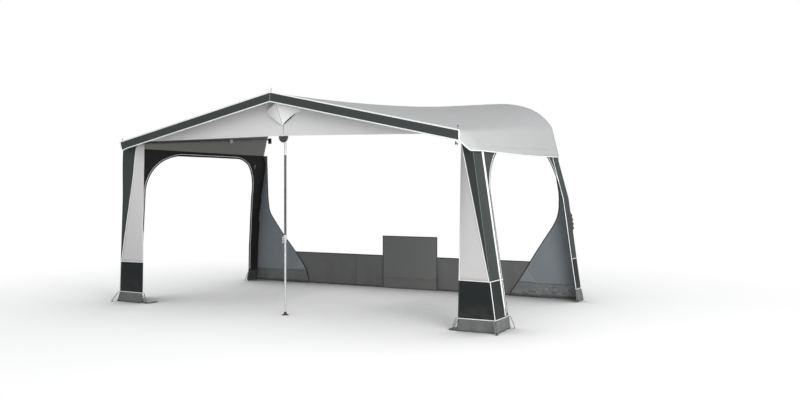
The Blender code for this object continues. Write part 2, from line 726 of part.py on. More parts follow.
def side_point(depth, height):
    """A point of the side wall behind the zip, for the right-hand side."""
    if height > PILLAR_KINK:
        share = (height - PILLAR_KINK) / (PILLAR_TOP - PILLAR_KINK)
        return side_point(depth, PILLAR_KINK).lerp(under_drop(1, depth), share)
    seam = zip_line(height)
    share = 1 - depth / depth_of(seam)
    return at(mix(seam.x, wall_reach(height), share), depth, height)


def left_inset(point):
    """How much further in the left wall stands than the right one, most at the foot of its rear leg."""
    height = min(point.z, PILLAR_TOP)
    behind = max(0, 1 - depth_of(point) / depth_of(zip_line(min(height, PILLAR_KINK))))
    return LEFT_LEG_INSET * along(LEFT_LEG_SHARES, height / PILLAR_TOP) * behind


def placed(point, side):
    """A point of the right-hand side, or its place on the left-hand side."""
    if side > 0:
        return point
    return Vector((left_inset(point) - point.x, point.y, point.z))


def mirrored(rows, side):
    return [[placed(point, side) for point in row] for row in rows]


def beside(point, target, distance):
    """The point moved straight towards a target by a distance."""
    return point.lerp(target, distance / (target - point).length)


def zip_edge(height, towards_wall):
    """An edge of the cloth beside the zip."""
    seam = zip_line(height)
    if towards_wall:
        return side_point(depth_of(seam) - ZIP_EDGE, height)
    return beside(seam, fold_line(height), ZIP_EDGE)


def pillar(label, side):
    """One front pillar: light panel, charcoal wedge with its side, dark box and mud skirt."""
    low = BOX_TOP + GAP / 2
    heights = [mix(low, PILLAR_KINK, share) for share in PANEL_ROW_SHARES]
    rows = []
    for height in heights + [PILLAR_TOP, LIGHT_PANEL_TOP]:
        inner = inner_line(height)
        divide = divide_line(height)
        edge = beside(divide, inner, SEAM / 2 + GAP)
        rows.append([inner, inner.lerp(edge, 0.5), edge])
    cloth_panel("pillar_front_" + label, mirrored(rows, side), LIGHT_GREY)

    rows = []
    for height in heights + [PILLAR_TOP]:
        fold = fold_line(height)
        edge = beside(divide_line(height), fold, SEAM / 2 + GAP)
        seam = zip_edge(height, False)
        rows.append([edge, edge.lerp(fold, 0.5), fold, fold.lerp(seam, 0.5), seam])
    cloth_panel("pillar_side_" + label, mirrored(rows, side), CHARCOAL)

    rows = []
    for height in (BOX_FOOT + GAP / 2, (BOX_FOOT + BOX_TOP) / 2, BOX_TOP - GAP / 2):
        fold = fold_line(height)
        rows.append([inner_line(height), fold, zip_edge(height, False)])
    cloth_panel("pillar_box_" + label, mirrored(rows, side), BOX_BLACK)

    cloth_panel("pillar_skirt_" + label, mirrored(pillar_skirt(), side), SKIRT_GREY)


def pillar_skirt():
    """The mud skirt round a pillar's front and side, splayed to the ground in soft folds."""
    top = BOX_FOOT - GAP / 2
    front = Vector((0, -1, 0))
    out = Vector((1, 0, 0))
    rear_depth = ARCH_FOOT_DEPTH
    rows = []
    for share in (0, HEM_STAND / top) + SKIRT_ROW_SHARES:
        height = top * share
        flare = 1 - max(share, HEM_STAND / top)
        inner, fold, rear = inner_line(height), fold_line(height), side_point(rear_depth, height)
        start = inner + front * (SKIRT_SPLAY * flare)
        corner = fold + (front + out) * (SKIRT_SPLAY * flare)
        end = rear + out * (SKIRT_SPLAY * flare)
        row = []
        for first, second, facing in ((start, corner, front), (corner, end, out)):
            for column in range(SKIRT_COLUMNS):
                place = column / SKIRT_COLUMNS
                wave = SKIRT_FOLD * math.sin(SKIRT_WAVES * math.tau * place) * math.sin(math.pi * place)
                row.append(first.lerp(second, place) + facing * (wave * flare))
        row.append(end)
        rows.append(row)
    return rows


def arch_edge(turn, centre_depth, spring_height, width):
    """A point of one of the arch's two round corners, each a quarter of an ellipse."""
    depth = centre_depth + width * math.cos(turn)
    height = spring_height + (ARCH_TOP - spring_height) * math.sin(turn)
    return side_point(depth, height)


def round_corner(spring, top_corner, top_end, centre_depth, spring_height, width):
    """Pairs round a corner: the wall's outer edge runs up to its own top corner and along the top."""
    pairs = []
    for step in range(1, ARCH_STEPS + 1):
        share = step / ARCH_STEPS
        if share <= CORNER_RISE_SHARE:
            outer = spring(mix(spring_height, PILLAR_KINK, share / CORNER_RISE_SHARE))
        elif share <= CORNER_TOP_SHARE:
            outer = under_drop(1, top_corner)
        else:
            run = (share - CORNER_TOP_SHARE) / (1 - CORNER_TOP_SHARE)
            outer = under_drop(1, mix(top_corner, top_end, run))
        pairs.append((outer, arch_edge(math.pi / 2 * share, centre_depth, spring_height, width)))
    return pairs


def wall_edge(height):
    """The side wall's rear edge, in the corner between it and the rear flap."""
    flat = max(height, HEM_STAND)
    point = side_point(FLAP_FRONT, flat)
    return Vector((point.x, point.y, height))


def arch_stations(spring_depth, front_width):
    """Pairs of points, the wall's outer edge and the arch's edge, from the front foot to the rear."""
    front_end = spring_depth - front_width
    rear_depth = LEG_SEAM_TOP
    rear_end = rear_depth + ARCH_REAR_WIDTH
    foot = BOX_FOOT + GAP / 2
    front, rear = [], []
    for share in spread(0, 1, STRAIGHT_STEPS):
        height = mix(foot, ARCH_SPRING_HEIGHT, share)
        depth = mix(ARCH_FOOT_DEPTH, spring_depth, height / ARCH_SPRING_HEIGHT)
        front.append((zip_edge(height, True), side_point(depth, height)))
    front += round_corner(partial(zip_edge, towards_wall=True), ZIP_KINK_DEPTH - ZIP_EDGE, front_end,
                          front_end, ARCH_SPRING_HEIGHT, front_width)
    top = []
    for share in spread(0, 1, STRAIGHT_STEPS)[1:-1]:
        depth = mix(front_end, rear_end, share)
        top.append((under_drop(1, depth), side_point(depth, ARCH_TOP)))
    crease = PILLAR_KINK * LEG_CREASE_SHARE
    for height in (0, HEM_STAND, BOX_FOOT, BOX_TOP, crease, ARCH_REAR_HEIGHT):
        share = height / ARCH_REAR_HEIGHT
        inner = side_point(mix(LEG_SEAM_FOOT, LEG_SEAM_TOP, share), max(height, HEM_STAND))
        rear.append((wall_edge(height), Vector((inner.x, inner.y, height))))
    rear += round_corner(wall_edge, FLAP_FRONT, rear_end, rear_end, ARCH_REAR_HEIGHT, -ARCH_REAR_WIDTH)
    return front + top + rear[::-1]


def side_wall(label, side, spring_depth, front_width):
    """The arched side wall from the zip to the caravan, in one piece with its rear leg."""
    rows = []
    for outer, inner in arch_stations(spring_depth, front_width):
        rows.append([outer, outer.lerp(inner, 0.5), inner])
    cloth_panel("side_wall_" + label, mirrored(rows, side), CHARCOAL)


def flap_edge(height, shares):
    """The free edge of a rear flap, from a table of shares of its height and of the eave's reach."""
    return EAVE_REACH * along(shares, height / FLAP_TOP)


def rear_flap(label, side, shares):
    """Blue-grey cloth between the rear leg and the caravan, with a creased mud flap at its foot."""
    heights = {share * FLAP_TOP for share, _ in shares}
    heights |= {share * MUD_FLAP_HEIGHT for share in MUD_ROW_SHARES}
    rows = []
    for height in sorted(heights):
        row = []
        outer = wall_reach(min(height, PILLAR_KINK)) + CLOTH
        if height > PILLAR_KINK:
            outer = under_drop(1, FLAP_DEPTH, height).x - CLOTH
        outer = side * placed(at(outer, FLAP_DEPTH, height), side).x
        for step in range(FLAP_COLUMNS + 1):
            share = step / FLAP_COLUMNS
            x = mix(flap_edge(height, shares), outer, share)
            fade = max(0, 1 - height / (MUD_FLAP_HEIGHT * MUD_FADE_SHARE)) * math.sin(math.pi * share)
            turn = MUD_FLAP_WAVES * math.tau * share + height / MUD_FLAP_LEAN
            row.append(at(side * x, FLAP_DEPTH + MUD_FLAP_FOLD * fade * (1 + math.sin(turn)), height))
        rows.append(row)
    cloth_panel("rear_flap_" + label, rows, FLAP_BLUE)


def wall_skirts():
    """The draught skirt under the caravan, in soft waves, and the cover over its wheel arch."""
    rows = []
    behind = FLAP_DEPTH - CLOTH - GAP
    for lift in DRAUGHT_ROW_SHARES:
        row = []
        for x in spread(DRAUGHT_LEFT, DRAUGHT_RIGHT, DRAUGHT_COLUMNS):
            turn = math.tau * x / DRAUGHT_WAVE
            main = math.sin(turn + 2 * lift)
            wave = mix(math.sin(DRAUGHT_SECOND_RATIO * turn + 1), main, DRAUGHT_MAIN_SHARE)
            end = min(x - DRAUGHT_LEFT, DRAUGHT_RIGHT - x)
            taut = max(lift ** 2, min(1, 1 - (end - DRAUGHT_FLAT) / DRAUGHT_FADE))
            row.append(at(x, mix(DRAUGHT_DEPTH + DRAUGHT_FOLD * wave, behind, taut), DRAUGHT_HEIGHT * lift))
        rows.append(row)
    cloth_panel("draught_skirt", rows, DRAUGHT_GREY)

    rows = []
    pleat = WHEEL_COVER_PLEAT_HEIGHT
    for height in [pleat * share for share in PLEAT_ROW_SHARES] + [WHEEL_COVER_HEIGHT]:
        row = []
        for share in spread(0, 1, WHEEL_COVER_COLUMNS):
            x = mix(WHEEL_COVER_LEFT, WHEEL_COVER_RIGHT, share)
            crease = max(0, 1 - abs(height / pleat - 1) / PLEAT_CREASE_SHARE)
            fade = max(0, 1 - height / WHEEL_COVER_HEIGHT)
            bulge = PLEAT_BULGE_SHARE * fade * math.sin(math.pi * share) ** 2
            row.append(at(x, FLAP_DEPTH + WHEEL_COVER_PLEAT * (crease + bulge), height))
        rows.append(row)
    cloth_panel("wheel_cover", rows, DRAUGHT_GREY)


def zip_sliders():
    """The sliders that close the long zips between the pillars and the side walls."""
    for label, side in (("left", -1), ("right", 1)):
        seam = zip_line(SLIDER_FOOT)
        run = zip_line(PILLAR_KINK) - seam
        across = side_point(depth_of(seam) - SLIDER_WIDTH, SLIDER_FOOT) - seam
        out = across.cross(run).normalized()
        if out.x < 0:
            out = -out
        origin = seam + out * (CLOTH / 2 + 2 * GAP)
        flip = Vector((side, 1, 1))
        frame = frame_at(origin * flip, run * flip, out * flip)
        half = SLIDER_WIDTH / 2
        body = box(Vector((0, -half, 0)), Vector((SLIDER_THICKNESS, half, SLIDER_LENGTH)))
        bridge_top = SLIDER_LENGTH * BRIDGE_TOP_SHARE
        bridge = box(Vector((SLIDER_THICKNESS / 2, -half / 3, SLIDER_LENGTH / 4)),
                     Vector((SLIDER_THICKNESS * BRIDGE_RISE_SHARE, half / 3, bridge_top)))
        pull_top = SLIDER_LENGTH * PULL_TOP_SHARE
        stand = SLIDER_THICKNESS * PULL_STAND_SHARE
        pull = box(Vector((stand, -PULL_WIDTH / 2, pull_top - PULL_LENGTH)),
                   Vector((stand + PULL_THICKNESS, PULL_WIDTH / 2, pull_top)))
        fitting("zip_slider_" + label, ZINC, frame, [body, bridge, pull])


# The pole frame

def elbow_axis():
    """The centre of the right-hand corner elbow, clear of the roof, the drop and the band."""
    slope = (PEAK_HEIGHT - EAVE_HEIGHT) / EAVE_REACH
    x = EAVE_REACH - FRAME_CLEAR
    drop = FRAME_CLEAR * math.sqrt(1 + slope * slope)
    return at(x, FRAME_DEPTH, PEAK_HEIGHT - slope * x - drop)


def side_axis(depth):
    """The centre line of the right-hand side roof pole."""
    share = SEAM_SHARE
    rail = rail_point(share)
    step = SIDE_POLE_STEP_SHARE
    run = (rail_point(share + step) - rail_point(share - step)).normalized()
    wall = at(rail.x + run.y * SIDE_POLE_CLEAR, 0, rail.y - run.x * SIDE_POLE_CLEAR)
    return wall.lerp(elbow_axis(), depth / FRAME_DEPTH)


def flipped(point, side):
    return Vector((side * point.x, point.y, point.z))


def flipped_side_axis(side, depth):
    return flipped(side_axis(depth), side)


def step_from(start, end, distance):
    return start + (end - start).normalized() * distance


def spike(base, top_height):
    """A steel pin that stands up through the roof's eyelet, with its small round cap."""
    top = Vector((base.x, base.y, top_height + SPIKE_RISE))
    cap = top + Vector((0, 0, SPIKE_TIP_RADIUS / 3))
    return [rod(base, top, SPIKE_RADIUS), ball(cap, SPIKE_TIP_RADIUS)]


def arm(centre, target):
    """An arm of a joint: its shoulder, and the spigot that goes into a tube."""
    shoulder = step_from(centre, target, SLEEVE_LENGTH)
    inside = step_from(centre, target, SLEEVE_LENGTH / 2)
    tip = step_from(centre, target, SLEEVE_LENGTH + SPIGOT_LENGTH)
    return [rod(centre, shoulder, FITTING_RADIUS), rod(inside, tip, INNER_RADIUS)]


def front_frame():
    """Peak hub, corner elbows and the rafters between them, right behind the band."""
    hub = ridge_axis(FRAME_DEPTH)
    shapes = [ball(hub, CLAMP_RADIUS)] + arm(hub, ridge_axis(0))
    world = Matrix.Identity(4)
    for label, side in (("left", -1), ("right", 1)):
        elbow = flipped(elbow_axis(), side)
        shapes += arm(hub, elbow)
        start = step_from(hub, elbow, SLEEVE_LENGTH + GAP)
        end = step_from(elbow, hub, SLEEVE_LENGTH + GAP)
        tube("rafter_" + label, start, end, ZINC, POLE_RADIUS, POLE_BORE)
        rear = flipped(side_axis(0), side)
        joins = [ball(elbow, CLAMP_RADIUS)] + arm(elbow, hub) + arm(elbow, rear)
        fitting("corner_elbow_" + label, BLACK_PLASTIC, world, joins + spike(elbow, EAVE_HEIGHT))
    fitting("peak_hub", BLACK_PLASTIC, world, shapes + spike(hub, PEAK_HEIGHT))


def clamp_shapes(grip):
    """A clamp in its own frame: Z along the pole to the wider tube, X to the lever."""
    half = CLAMP_LENGTH / 2
    up = Vector((0, 0, 1))
    joins = [rod(up * -half, up * half, CLAMP_RADIUS)]
    for turn in (-1, 1):
        near = turn * (LEVER_WIDTH / 2 + GAP)
        far = near + turn * EAR_THICKNESS
        joins.append(box(Vector((grip, min(near, far), -EAR_HEIGHT / 2)),
                         Vector((EAR_REACH, max(near, far), EAR_HEIGHT / 2))))
    wide = LEVER_WIDTH / 2 + GAP + EAR_THICKNESS * PIN_END_SHARE
    joins.append(rod(Vector((PIVOT_REACH, -wide, 0)), Vector((PIVOT_REACH, wide, 0)), PIN_RADIUS))
    cuts = [rod(Vector((0, 0, 0)), up * (half + OVERRUN), POLE_RADIUS + RUNNING_CLEARANCE),
            rod(up * -(half + OVERRUN), up * OVERRUN, INNER_RADIUS + RUNNING_CLEARANCE)]
    return joins, cuts


def clamp_frame(origin, wider, towards):
    return frame_at(origin, wider - origin, towards)


def clamp(name, frame):
    joins, cuts = clamp_shapes(INNER_RADIUS + CLOTH)
    fitting(name, PALE_PLASTIC, frame, joins, cuts)


def lever(name, frame):
    """The clamp's lever, lying along the thinner tube, with its origin on its pin."""
    pivot = frame @ Matrix.Translation((PIVOT_REACH, 0, 0))
    half = LEVER_WIDTH / 2
    thick = LEVER_THICKNESS / 2
    joins = [
        rod(Vector((0, -half, 0)), Vector((0, half, 0)), LEVER_BOSS_RADIUS),
        box(Vector((-thick, -half, -LEVER_NECK - OVERRUN)), Vector((thick, half, 0))),
        box(Vector((-thick, -LEVER_PADDLE_WIDTH / 2, -LEVER_LENGTH)),
            Vector((thick, LEVER_PADDLE_WIDTH / 2, -LEVER_NECK)))]
    cuts = [rod(Vector((0, -half - OVERRUN, 0)), Vector((0, half + OVERRUN, 0)), PIN_RADIUS + 2 * GAP)]
    return fitting(name, PALE_PLASTIC, pivot, joins, cuts)


def foot(name, x, depth):
    """A small cross-shaped foot with a socket for its leg."""
    half = FOOT_SPAN / 2
    width = FOOT_BAR_WIDTH / 2
    bars = [box(Vector((-half, -width, 0)), Vector((half, width, FOOT_BAR_HEIGHT))),
            box(Vector((-width, -half, 0)), Vector((width, half, FOOT_BAR_HEIGHT * FOOT_CROSS_SHARE))),
            rod(Vector((0, 0, 0)), Vector((0, 0, FOOT_SOCKET_HEIGHT)), FOOT_SOCKET_RADIUS)]
    bore = rod(Vector((0, 0, FOOT_FLOOR)), Vector((0, 0, FOOT_SOCKET_HEIGHT + OVERRUN)),
               INNER_RADIUS + RUNNING_CLEARANCE)
    fitting(name, BLACK_PLASTIC, Matrix.Translation(at(x, depth, 0)), bars, [bore])


def leg(label, x, depth, lever_side):
    """The sliding lower tube, its foot, its clamp and the clamp's lever."""
    foot("foot_" + label, x, depth)
    base = at(x, depth, FOOT_FLOOR + GAP)
    top = at(x, depth, LEG_CLAMP_HEIGHT + INSERTION)
    tube("leg_" + label, base, top, ZINC, INNER_RADIUS, INNER_BORE)
    middle = at(x, depth, LEG_CLAMP_HEIGHT)
    frame = clamp_frame(middle, middle + Vector((0, 0, 1)), lever_side)
    clamp("leg_clamp_" + label, frame)
    lever("leg_lever_" + label, frame)


def tee(name, pole_point, pole_end, joint, spigot_radius):
    """A collar round a roof pole with a stub and spigot for the upright under it."""
    along_pole = (pole_end - pole_point).normalized()
    half = along_pole * (TEE_COLLAR_LENGTH / 2)
    down = Vector((0, 0, -1))
    knee = joint - down * TEE_STUB_LENGTH
    joins = [rod(pole_point - half, pole_point + half, FITTING_RADIUS)]
    if (knee - pole_point).length > POLE_RADIUS:
        joins.append(rod(pole_point, knee, TEE_ARM_RADIUS))
        joins.append(ball(knee, FITTING_RADIUS))
    joins.append(rod(knee, joint, TEE_STUB_RADIUS))
    joins.append(rod((knee + joint) / 2, joint + down * SPIGOT_LENGTH, spigot_radius))
    longer = along_pole * (TEE_COLLAR_LENGTH / 2 + OVERRUN)
    cuts = [rod(pole_point - longer, pole_point + longer, POLE_RADIUS + RUNNING_CLEARANCE)]
    fitting(name, BLACK_PLASTIC, Matrix.Identity(4), joins, cuts)


def uprights():
    axis = ridge_axis(CENTRE_POLE_DEPTH)
    joint = at(0, CENTRE_POLE_DEPTH, axis.z - FITTING_RADIUS - TEE_STUB_LENGTH)
    tee("pole_tee_centre", axis, ridge_axis(0), joint, SPIGOT_RADIUS)
    tube("upright_centre_top", at(0, CENTRE_POLE_DEPTH, CENTRE_SLEEVE_TOP - CENTRE_TOP_INSERTION),
         joint - Vector((0, 0, GAP)), ZINC, INNER_RADIUS, INNER_BORE)
    shoulder = Vector((0, 0, GAP))
    tube("upright_centre", at(0, CENTRE_POLE_DEPTH, LEG_CLAMP_HEIGHT) + shoulder,
         at(0, CENTRE_POLE_DEPTH, CENTRE_SLEEVE_TOP), DARK_STEEL, POLE_RADIUS, POLE_BORE)
    leg("centre", 0, CENTRE_POLE_DEPTH, Vector((-1, 0, 0)))
    for label, side in (("left", -1), ("right", 1)):
        x = side * CORNER_POLE_REACH
        joint = at(x, CORNER_POLE_DEPTH, CORNER_POLE_TOP)
        on_pole = flipped(side_axis(CORNER_POLE_DEPTH), side)
        tee("pole_tee_" + label, on_pole, flipped(side_axis(0), side), joint, INNER_RADIUS)
        tube("upright_" + label, at(x, CORNER_POLE_DEPTH, LEG_CLAMP_HEIGHT) + shoulder,
             joint - shoulder, DARK_STEEL, POLE_RADIUS, POLE_BORE)
        leg(label, x, CORNER_POLE_DEPTH, Vector((0, 1, 0)))


def roof_pole(label, line, clamp_depth, inward):
    """A telescopic roof pole from the front fitting to its pad on the caravan's wall."""
    front = step_from(line(FRAME_DEPTH), line(0), SLEEVE_LENGTH + GAP)
    middle = line(clamp_depth)
    shoulder = step_from(middle, front, GAP)
    tube("roof_pole_" + label, shoulder, front, ZINC, POLE_RADIUS, POLE_BORE)
    frame = clamp_frame(middle, front, Vector((0, 0, -1)))
    clamp("roof_clamp_" + label, frame)
    lever("roof_lever_" + label, frame)

    wall = line(0)
    pad_face = line(PAD_THICKNESS)
    inside = step_from(middle, front, INSERTION)
    tail = step_from(pad_face, front, GAP)
    tube("roof_slide_" + label, tail, inside, ZINC, INNER_RADIUS, INNER_BORE)
    if inward:
        low_x, high_x = sorted((inward * PAD_WIDTH - inward * POLE_RADIUS, -inward * POLE_RADIUS))
    else:
        low_x, high_x = -PAD_WIDTH / 2, PAD_WIDTH / 2
    plate = box(Vector((low_x, -PAD_THICKNESS, PAD_HEADROOM - PAD_HEIGHT)),
                Vector((high_x, 0, PAD_HEADROOM)))
    run = (front - wall).normalized()
    boss_start = run * (PAD_THICKNESS / 2)
    boss = rod(boss_start, boss_start + run * PAD_BOSS_LENGTH, PAD_BOSS_RADIUS)
    bore_start = pad_face - wall
    bore = rod(bore_start, bore_start + run * PAD_BOSS_LENGTH * 2, INNER_RADIUS + RUNNING_CLEARANCE)
    fitting("wall_pad_" + label, BLACK_PLASTIC, Matrix.Translation(wall), [plate, boss], [bore])


def roof_poles():
    roof_pole("centre", ridge_axis, RIDGE_CLAMP_DEPTH, 0)
    for label, side in (("left", -1), ("right", 1)):
        roof_pole(label, partial(flipped_side_axis, side), SIDE_CLAMP_DEPTH, -side)


def build():
    roof()
    front_band()
    gable()
    vent_hood()
    tongue()
    for label, side in (("left", -1), ("right", 1)):
        pillar(label, side)
    side_wall("left", -1, LEFT_ARCH_SPRING_DEPTH, LEFT_ARCH_FRONT_WIDTH)
    side_wall("right", 1, ARCH_SPRING_DEPTH, ARCH_FRONT_WIDTH)
    rear_flap("left", -1, FLAP_LEFT_SHARES)
    rear_flap("right", 1, FLAP_RIGHT_SHARES)
    wall_skirts()
    zip_sliders()
    front_frame()
    uprights()
    roof_poles()


def centre():
    """The right rear leg stands further out than anything on the left, so the ridge isn't the middle."""
    shift = Matrix.Translation((-MIDDLE_X, 0, 0))
    for piece in list(PARTS.objects) + list(CUTTERS.objects):
        piece.matrix_world = shift @ piece.matrix_world


build()
centre()
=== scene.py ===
import math
from functools import partial

import bmesh
import bpy
from mathutils import Matrix, Vector, noise
from mathutils.geometry import interpolate_bezier


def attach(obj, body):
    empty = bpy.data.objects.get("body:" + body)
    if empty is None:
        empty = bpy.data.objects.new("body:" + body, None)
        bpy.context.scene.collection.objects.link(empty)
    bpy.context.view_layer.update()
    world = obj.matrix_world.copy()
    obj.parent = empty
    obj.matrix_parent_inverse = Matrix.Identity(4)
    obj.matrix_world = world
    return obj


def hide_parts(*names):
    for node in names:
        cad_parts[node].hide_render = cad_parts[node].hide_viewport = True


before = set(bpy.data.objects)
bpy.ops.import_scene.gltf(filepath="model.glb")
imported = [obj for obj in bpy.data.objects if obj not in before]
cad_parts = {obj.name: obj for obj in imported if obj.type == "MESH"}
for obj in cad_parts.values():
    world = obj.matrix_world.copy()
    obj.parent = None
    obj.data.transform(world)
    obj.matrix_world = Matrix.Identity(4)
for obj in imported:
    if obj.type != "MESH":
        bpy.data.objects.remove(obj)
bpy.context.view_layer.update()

# Sizes and lines of the part's source, in metres

GAP = 0.0003
CLOTH = 0.002
DROP_CLEAR = CLOTH + 4 * GAP
ROOF_DEPTH = 2.80
EAVE_HEIGHT = 1.832
PEAK_RISE = 0.451
EAVE_REACH = 2.07
BAND_DROP = 0.088
RAIL_HEIGHT = 2.36
RAIL_FLAT_REACH = 1.375
RAIL_END_SPLAY = 0.110
RAIL_END_HEIGHT = 1.69
RAIL_TOP_HANDLE = 0.722
RAIL_END_HANDLE = 0.229
RAIL_END_LEAN = 0.003
RAIL_SEAM_SHARE = 0.70
ROOF_REAR = 0.006
RAIL_STEPS = 12
DROP_FRONT_DROP = 0.088
DROP_FRONT_FLARE = 0.002
DROP_HEM_DROP = 0.172
DROP_TURN_SPLAY = 0.065
DROP_TURN_SETBACK = 0.085
DROP_SIDE_SPLAY = 0.125
DROP_SIDE_SETBACK = 0.20
LEFT_HEM_LIFT = 0.060
GABLE_SETBACK = 0.235
GABLE_INSET = 0.086
GABLE_HEM_RISE = 0.028
GABLE_HEM_DIP = 0.034
HOOD_TIP_DROP = 0.306
HOOD_SIDE_REACH = 0.22
HOOD_SIDE_DROP = 0.162
HOOD_SHOULDER_REACH = 0.186
HOOD_SHOULDER_DROP = 0.116
HOOD_PEAK_DROP = 0.093
HOOD_PEAK_PROUD = 0.135
HOOD_TIP_PROUD = 0.022
HOOD_LIP = 0.014
TONGUE_WIDTH = 0.125
TONGUE_DROP = 0.071
PILLAR_TOP_DROP = 0.052
PILLAR_KINK_DROP = 0.182
INNER_TOP_INSET = 0.098
INNER_TOP_SETBACK = 0.285
INNER_FOOT_INSET = 0.110
INNER_FOOT_SETBACK = 0.230
FOLD_KINK_SPLAY = 0.080
FOLD_KINK_SETBACK = 0.136
FOLD_FOOT_INSET = 0.006
FOLD_FOOT_SETBACK = 0.248
DIVIDE_TOP_INSET = 0.068
DIVIDE_TOP_SETBACK = 0.194
DIVIDE_FOOT_INSET = 0.008
BOX_TOP = 0.467
BOX_FOOT = 0.115
SKIRT_SPLAY = 0.020
SKIRT_FOLD = 0.007
SKIRT_WAVES = 2.5
HEM_STAND = 0.004
ZIP_EDGE = 0.00015
ZIP_KINK_SPLAY = 0.116
ZIP_KINK_SETBACK = 0.281
ZIP_FOOT_SPLAY = 0.271
ZIP_FOOT_SETBACK = 0.522
WALL_KINK_SPLAY = 0.106
WALL_MIDDLE_SPLAY = 0.230
WALL_MIDDLE_SHARE = 0.7273
WALL_LOW_SPLAY = 0.325
WALL_LOW_SHARE = 0.3030
WALL_HEM_SPLAY = 0.380
WALL_FOOT_SPLAY = 0.405
ARCH_FOOT_SETBACK = 0.580
ARCH_SPRING_SETBACK = 0.388
ARCH_SPRING_DROP = 0.552
LEFT_ARCH_SPRING_SETBACK = 0.494
ARCH_TOP_DROP = 0.112
ARCH_FRONT_WIDTH = 0.48
LEFT_ARCH_FRONT_WIDTH = 0.576
ARCH_REAR_WIDTH = 0.35
ARCH_REAR_DROP = 0.612
LEG_SEAM_TOP = 0.255
LEG_SEAM_FOOT = 0.215
CORNER_RISE_SHARE = 0.45
CORNER_TOP_SHARE = 0.6
LEFT_LEG_INSET = 0.193
LEFT_LEG_SHARES = ((0.0, 1.0), (0.065, 0.95), (0.28, 0.75), (0.67, 0.55), (0.93, 0.31), (1.0, 0.0))
MIDDLE_X = 0.0561
FLAP_DEPTH = 0.0205
FLAP_LEFT_SHARES = (
    (0.0, 0.664), (0.062, 0.669), (0.130, 0.697), (0.252, 0.778), (0.365, 0.865), (0.479, 0.940),
    (0.549, 0.987), (0.666, 1.0), (1.0, 1.01))
FLAP_RIGHT_SHARES = (
    (0.0, 0.746), (0.139, 0.830), (0.297, 0.911), (0.425, 0.984), (0.506, 1.031), (0.581, 1.053),
    (0.697, 1.055), (0.843, 1.034), (1.0, 1.007))
MUD_FLAP_HEIGHT = 0.17
MUD_FLAP_FOLD = 0.014
DRAUGHT_HEIGHT = 0.428
DRAUGHT_LEFT = -1.90
DRAUGHT_RIGHT = 1.95
DRAUGHT_DEPTH = 0.0102
DRAUGHT_FOLD = 0.0078
DRAUGHT_WAVE = 0.33
DRAUGHT_FLAT = 0.20
DRAUGHT_FADE = 0.15
WHEEL_COVER_LEFT = -0.206
WHEEL_COVER_RIGHT = 0.590
WHEEL_COVER_HEIGHT = 0.69
WHEEL_COVER_PLEAT_HEIGHT = 0.15
WHEEL_COVER_PLEAT = 0.012
POLE_RADIUS = 0.0125
SPIKE_RISE = 0.045
CLAMP_RADIUS = 0.0175
WALL_Y = (ROOF_DEPTH + CLOTH / 2) / 2
PEAK_HEIGHT = EAVE_HEIGHT + PEAK_RISE
GABLE_REACH = EAVE_REACH - GABLE_INSET
INNER_TOP_REACH = EAVE_REACH - INNER_TOP_INSET
INNER_FOOT_REACH = EAVE_REACH - INNER_FOOT_INSET
FOLD_KINK_REACH = EAVE_REACH + FOLD_KINK_SPLAY
DIVIDE_TOP_REACH = EAVE_REACH - DIVIDE_TOP_INSET
ZIP_KINK_REACH = EAVE_REACH + ZIP_KINK_SPLAY
ZIP_FOOT_REACH = EAVE_REACH + ZIP_FOOT_SPLAY
DROP_TURN_REACH = EAVE_REACH + DROP_TURN_SPLAY
DROP_SIDE_REACH = EAVE_REACH + DROP_SIDE_SPLAY
WALL_KINK_REACH = EAVE_REACH + WALL_KINK_SPLAY
WALL_MIDDLE_REACH = EAVE_REACH + WALL_MIDDLE_SPLAY
WALL_LOW_REACH = EAVE_REACH + WALL_LOW_SPLAY
WALL_HEM_REACH = EAVE_REACH + WALL_HEM_SPLAY
WALL_FOOT_REACH = EAVE_REACH + WALL_FOOT_SPLAY
RAIL_END_REACH = EAVE_REACH + RAIL_END_SPLAY
FOLD_FOOT_REACH = ZIP_FOOT_REACH - FOLD_FOOT_INSET
INNER_TOP_DEPTH = ROOF_DEPTH - INNER_TOP_SETBACK
INNER_FOOT_DEPTH = ROOF_DEPTH - INNER_FOOT_SETBACK
FOLD_KINK_DEPTH = ROOF_DEPTH - FOLD_KINK_SETBACK
FOLD_FOOT_DEPTH = ROOF_DEPTH - FOLD_FOOT_SETBACK
DIVIDE_TOP_DEPTH = ROOF_DEPTH - DIVIDE_TOP_SETBACK
ZIP_KINK_DEPTH = ROOF_DEPTH - ZIP_KINK_SETBACK
ZIP_FOOT_DEPTH = ROOF_DEPTH - ZIP_FOOT_SETBACK
ARCH_FOOT_DEPTH = ROOF_DEPTH - ARCH_FOOT_SETBACK
ARCH_SPRING_DEPTH = ROOF_DEPTH - ARCH_SPRING_SETBACK
LEFT_ARCH_SPRING_DEPTH = ROOF_DEPTH - LEFT_ARCH_SPRING_SETBACK
HOOD_TIP_HEIGHT = PEAK_HEIGHT - HOOD_TIP_DROP
HOOD_SIDE_HEIGHT = PEAK_HEIGHT - HOOD_SIDE_DROP
HOOD_SHOULDER_HEIGHT = PEAK_HEIGHT - HOOD_SHOULDER_DROP
HOOD_PEAK_HEIGHT = PEAK_HEIGHT - HOOD_PEAK_DROP
DROP_FRONT_HEIGHT = EAVE_HEIGHT - DROP_FRONT_DROP
DROP_HEM_HEIGHT = EAVE_HEIGHT - DROP_HEM_DROP
PILLAR_TOP = EAVE_HEIGHT - PILLAR_TOP_DROP
PILLAR_KINK = EAVE_HEIGHT - PILLAR_KINK_DROP
ARCH_TOP = EAVE_HEIGHT - ARCH_TOP_DROP
GABLE_HEM_HEIGHT = EAVE_HEIGHT + GABLE_HEM_RISE
WALL_MIDDLE_HEIGHT = PILLAR_KINK * WALL_MIDDLE_SHARE
WALL_LOW_HEIGHT = PILLAR_KINK * WALL_LOW_SHARE
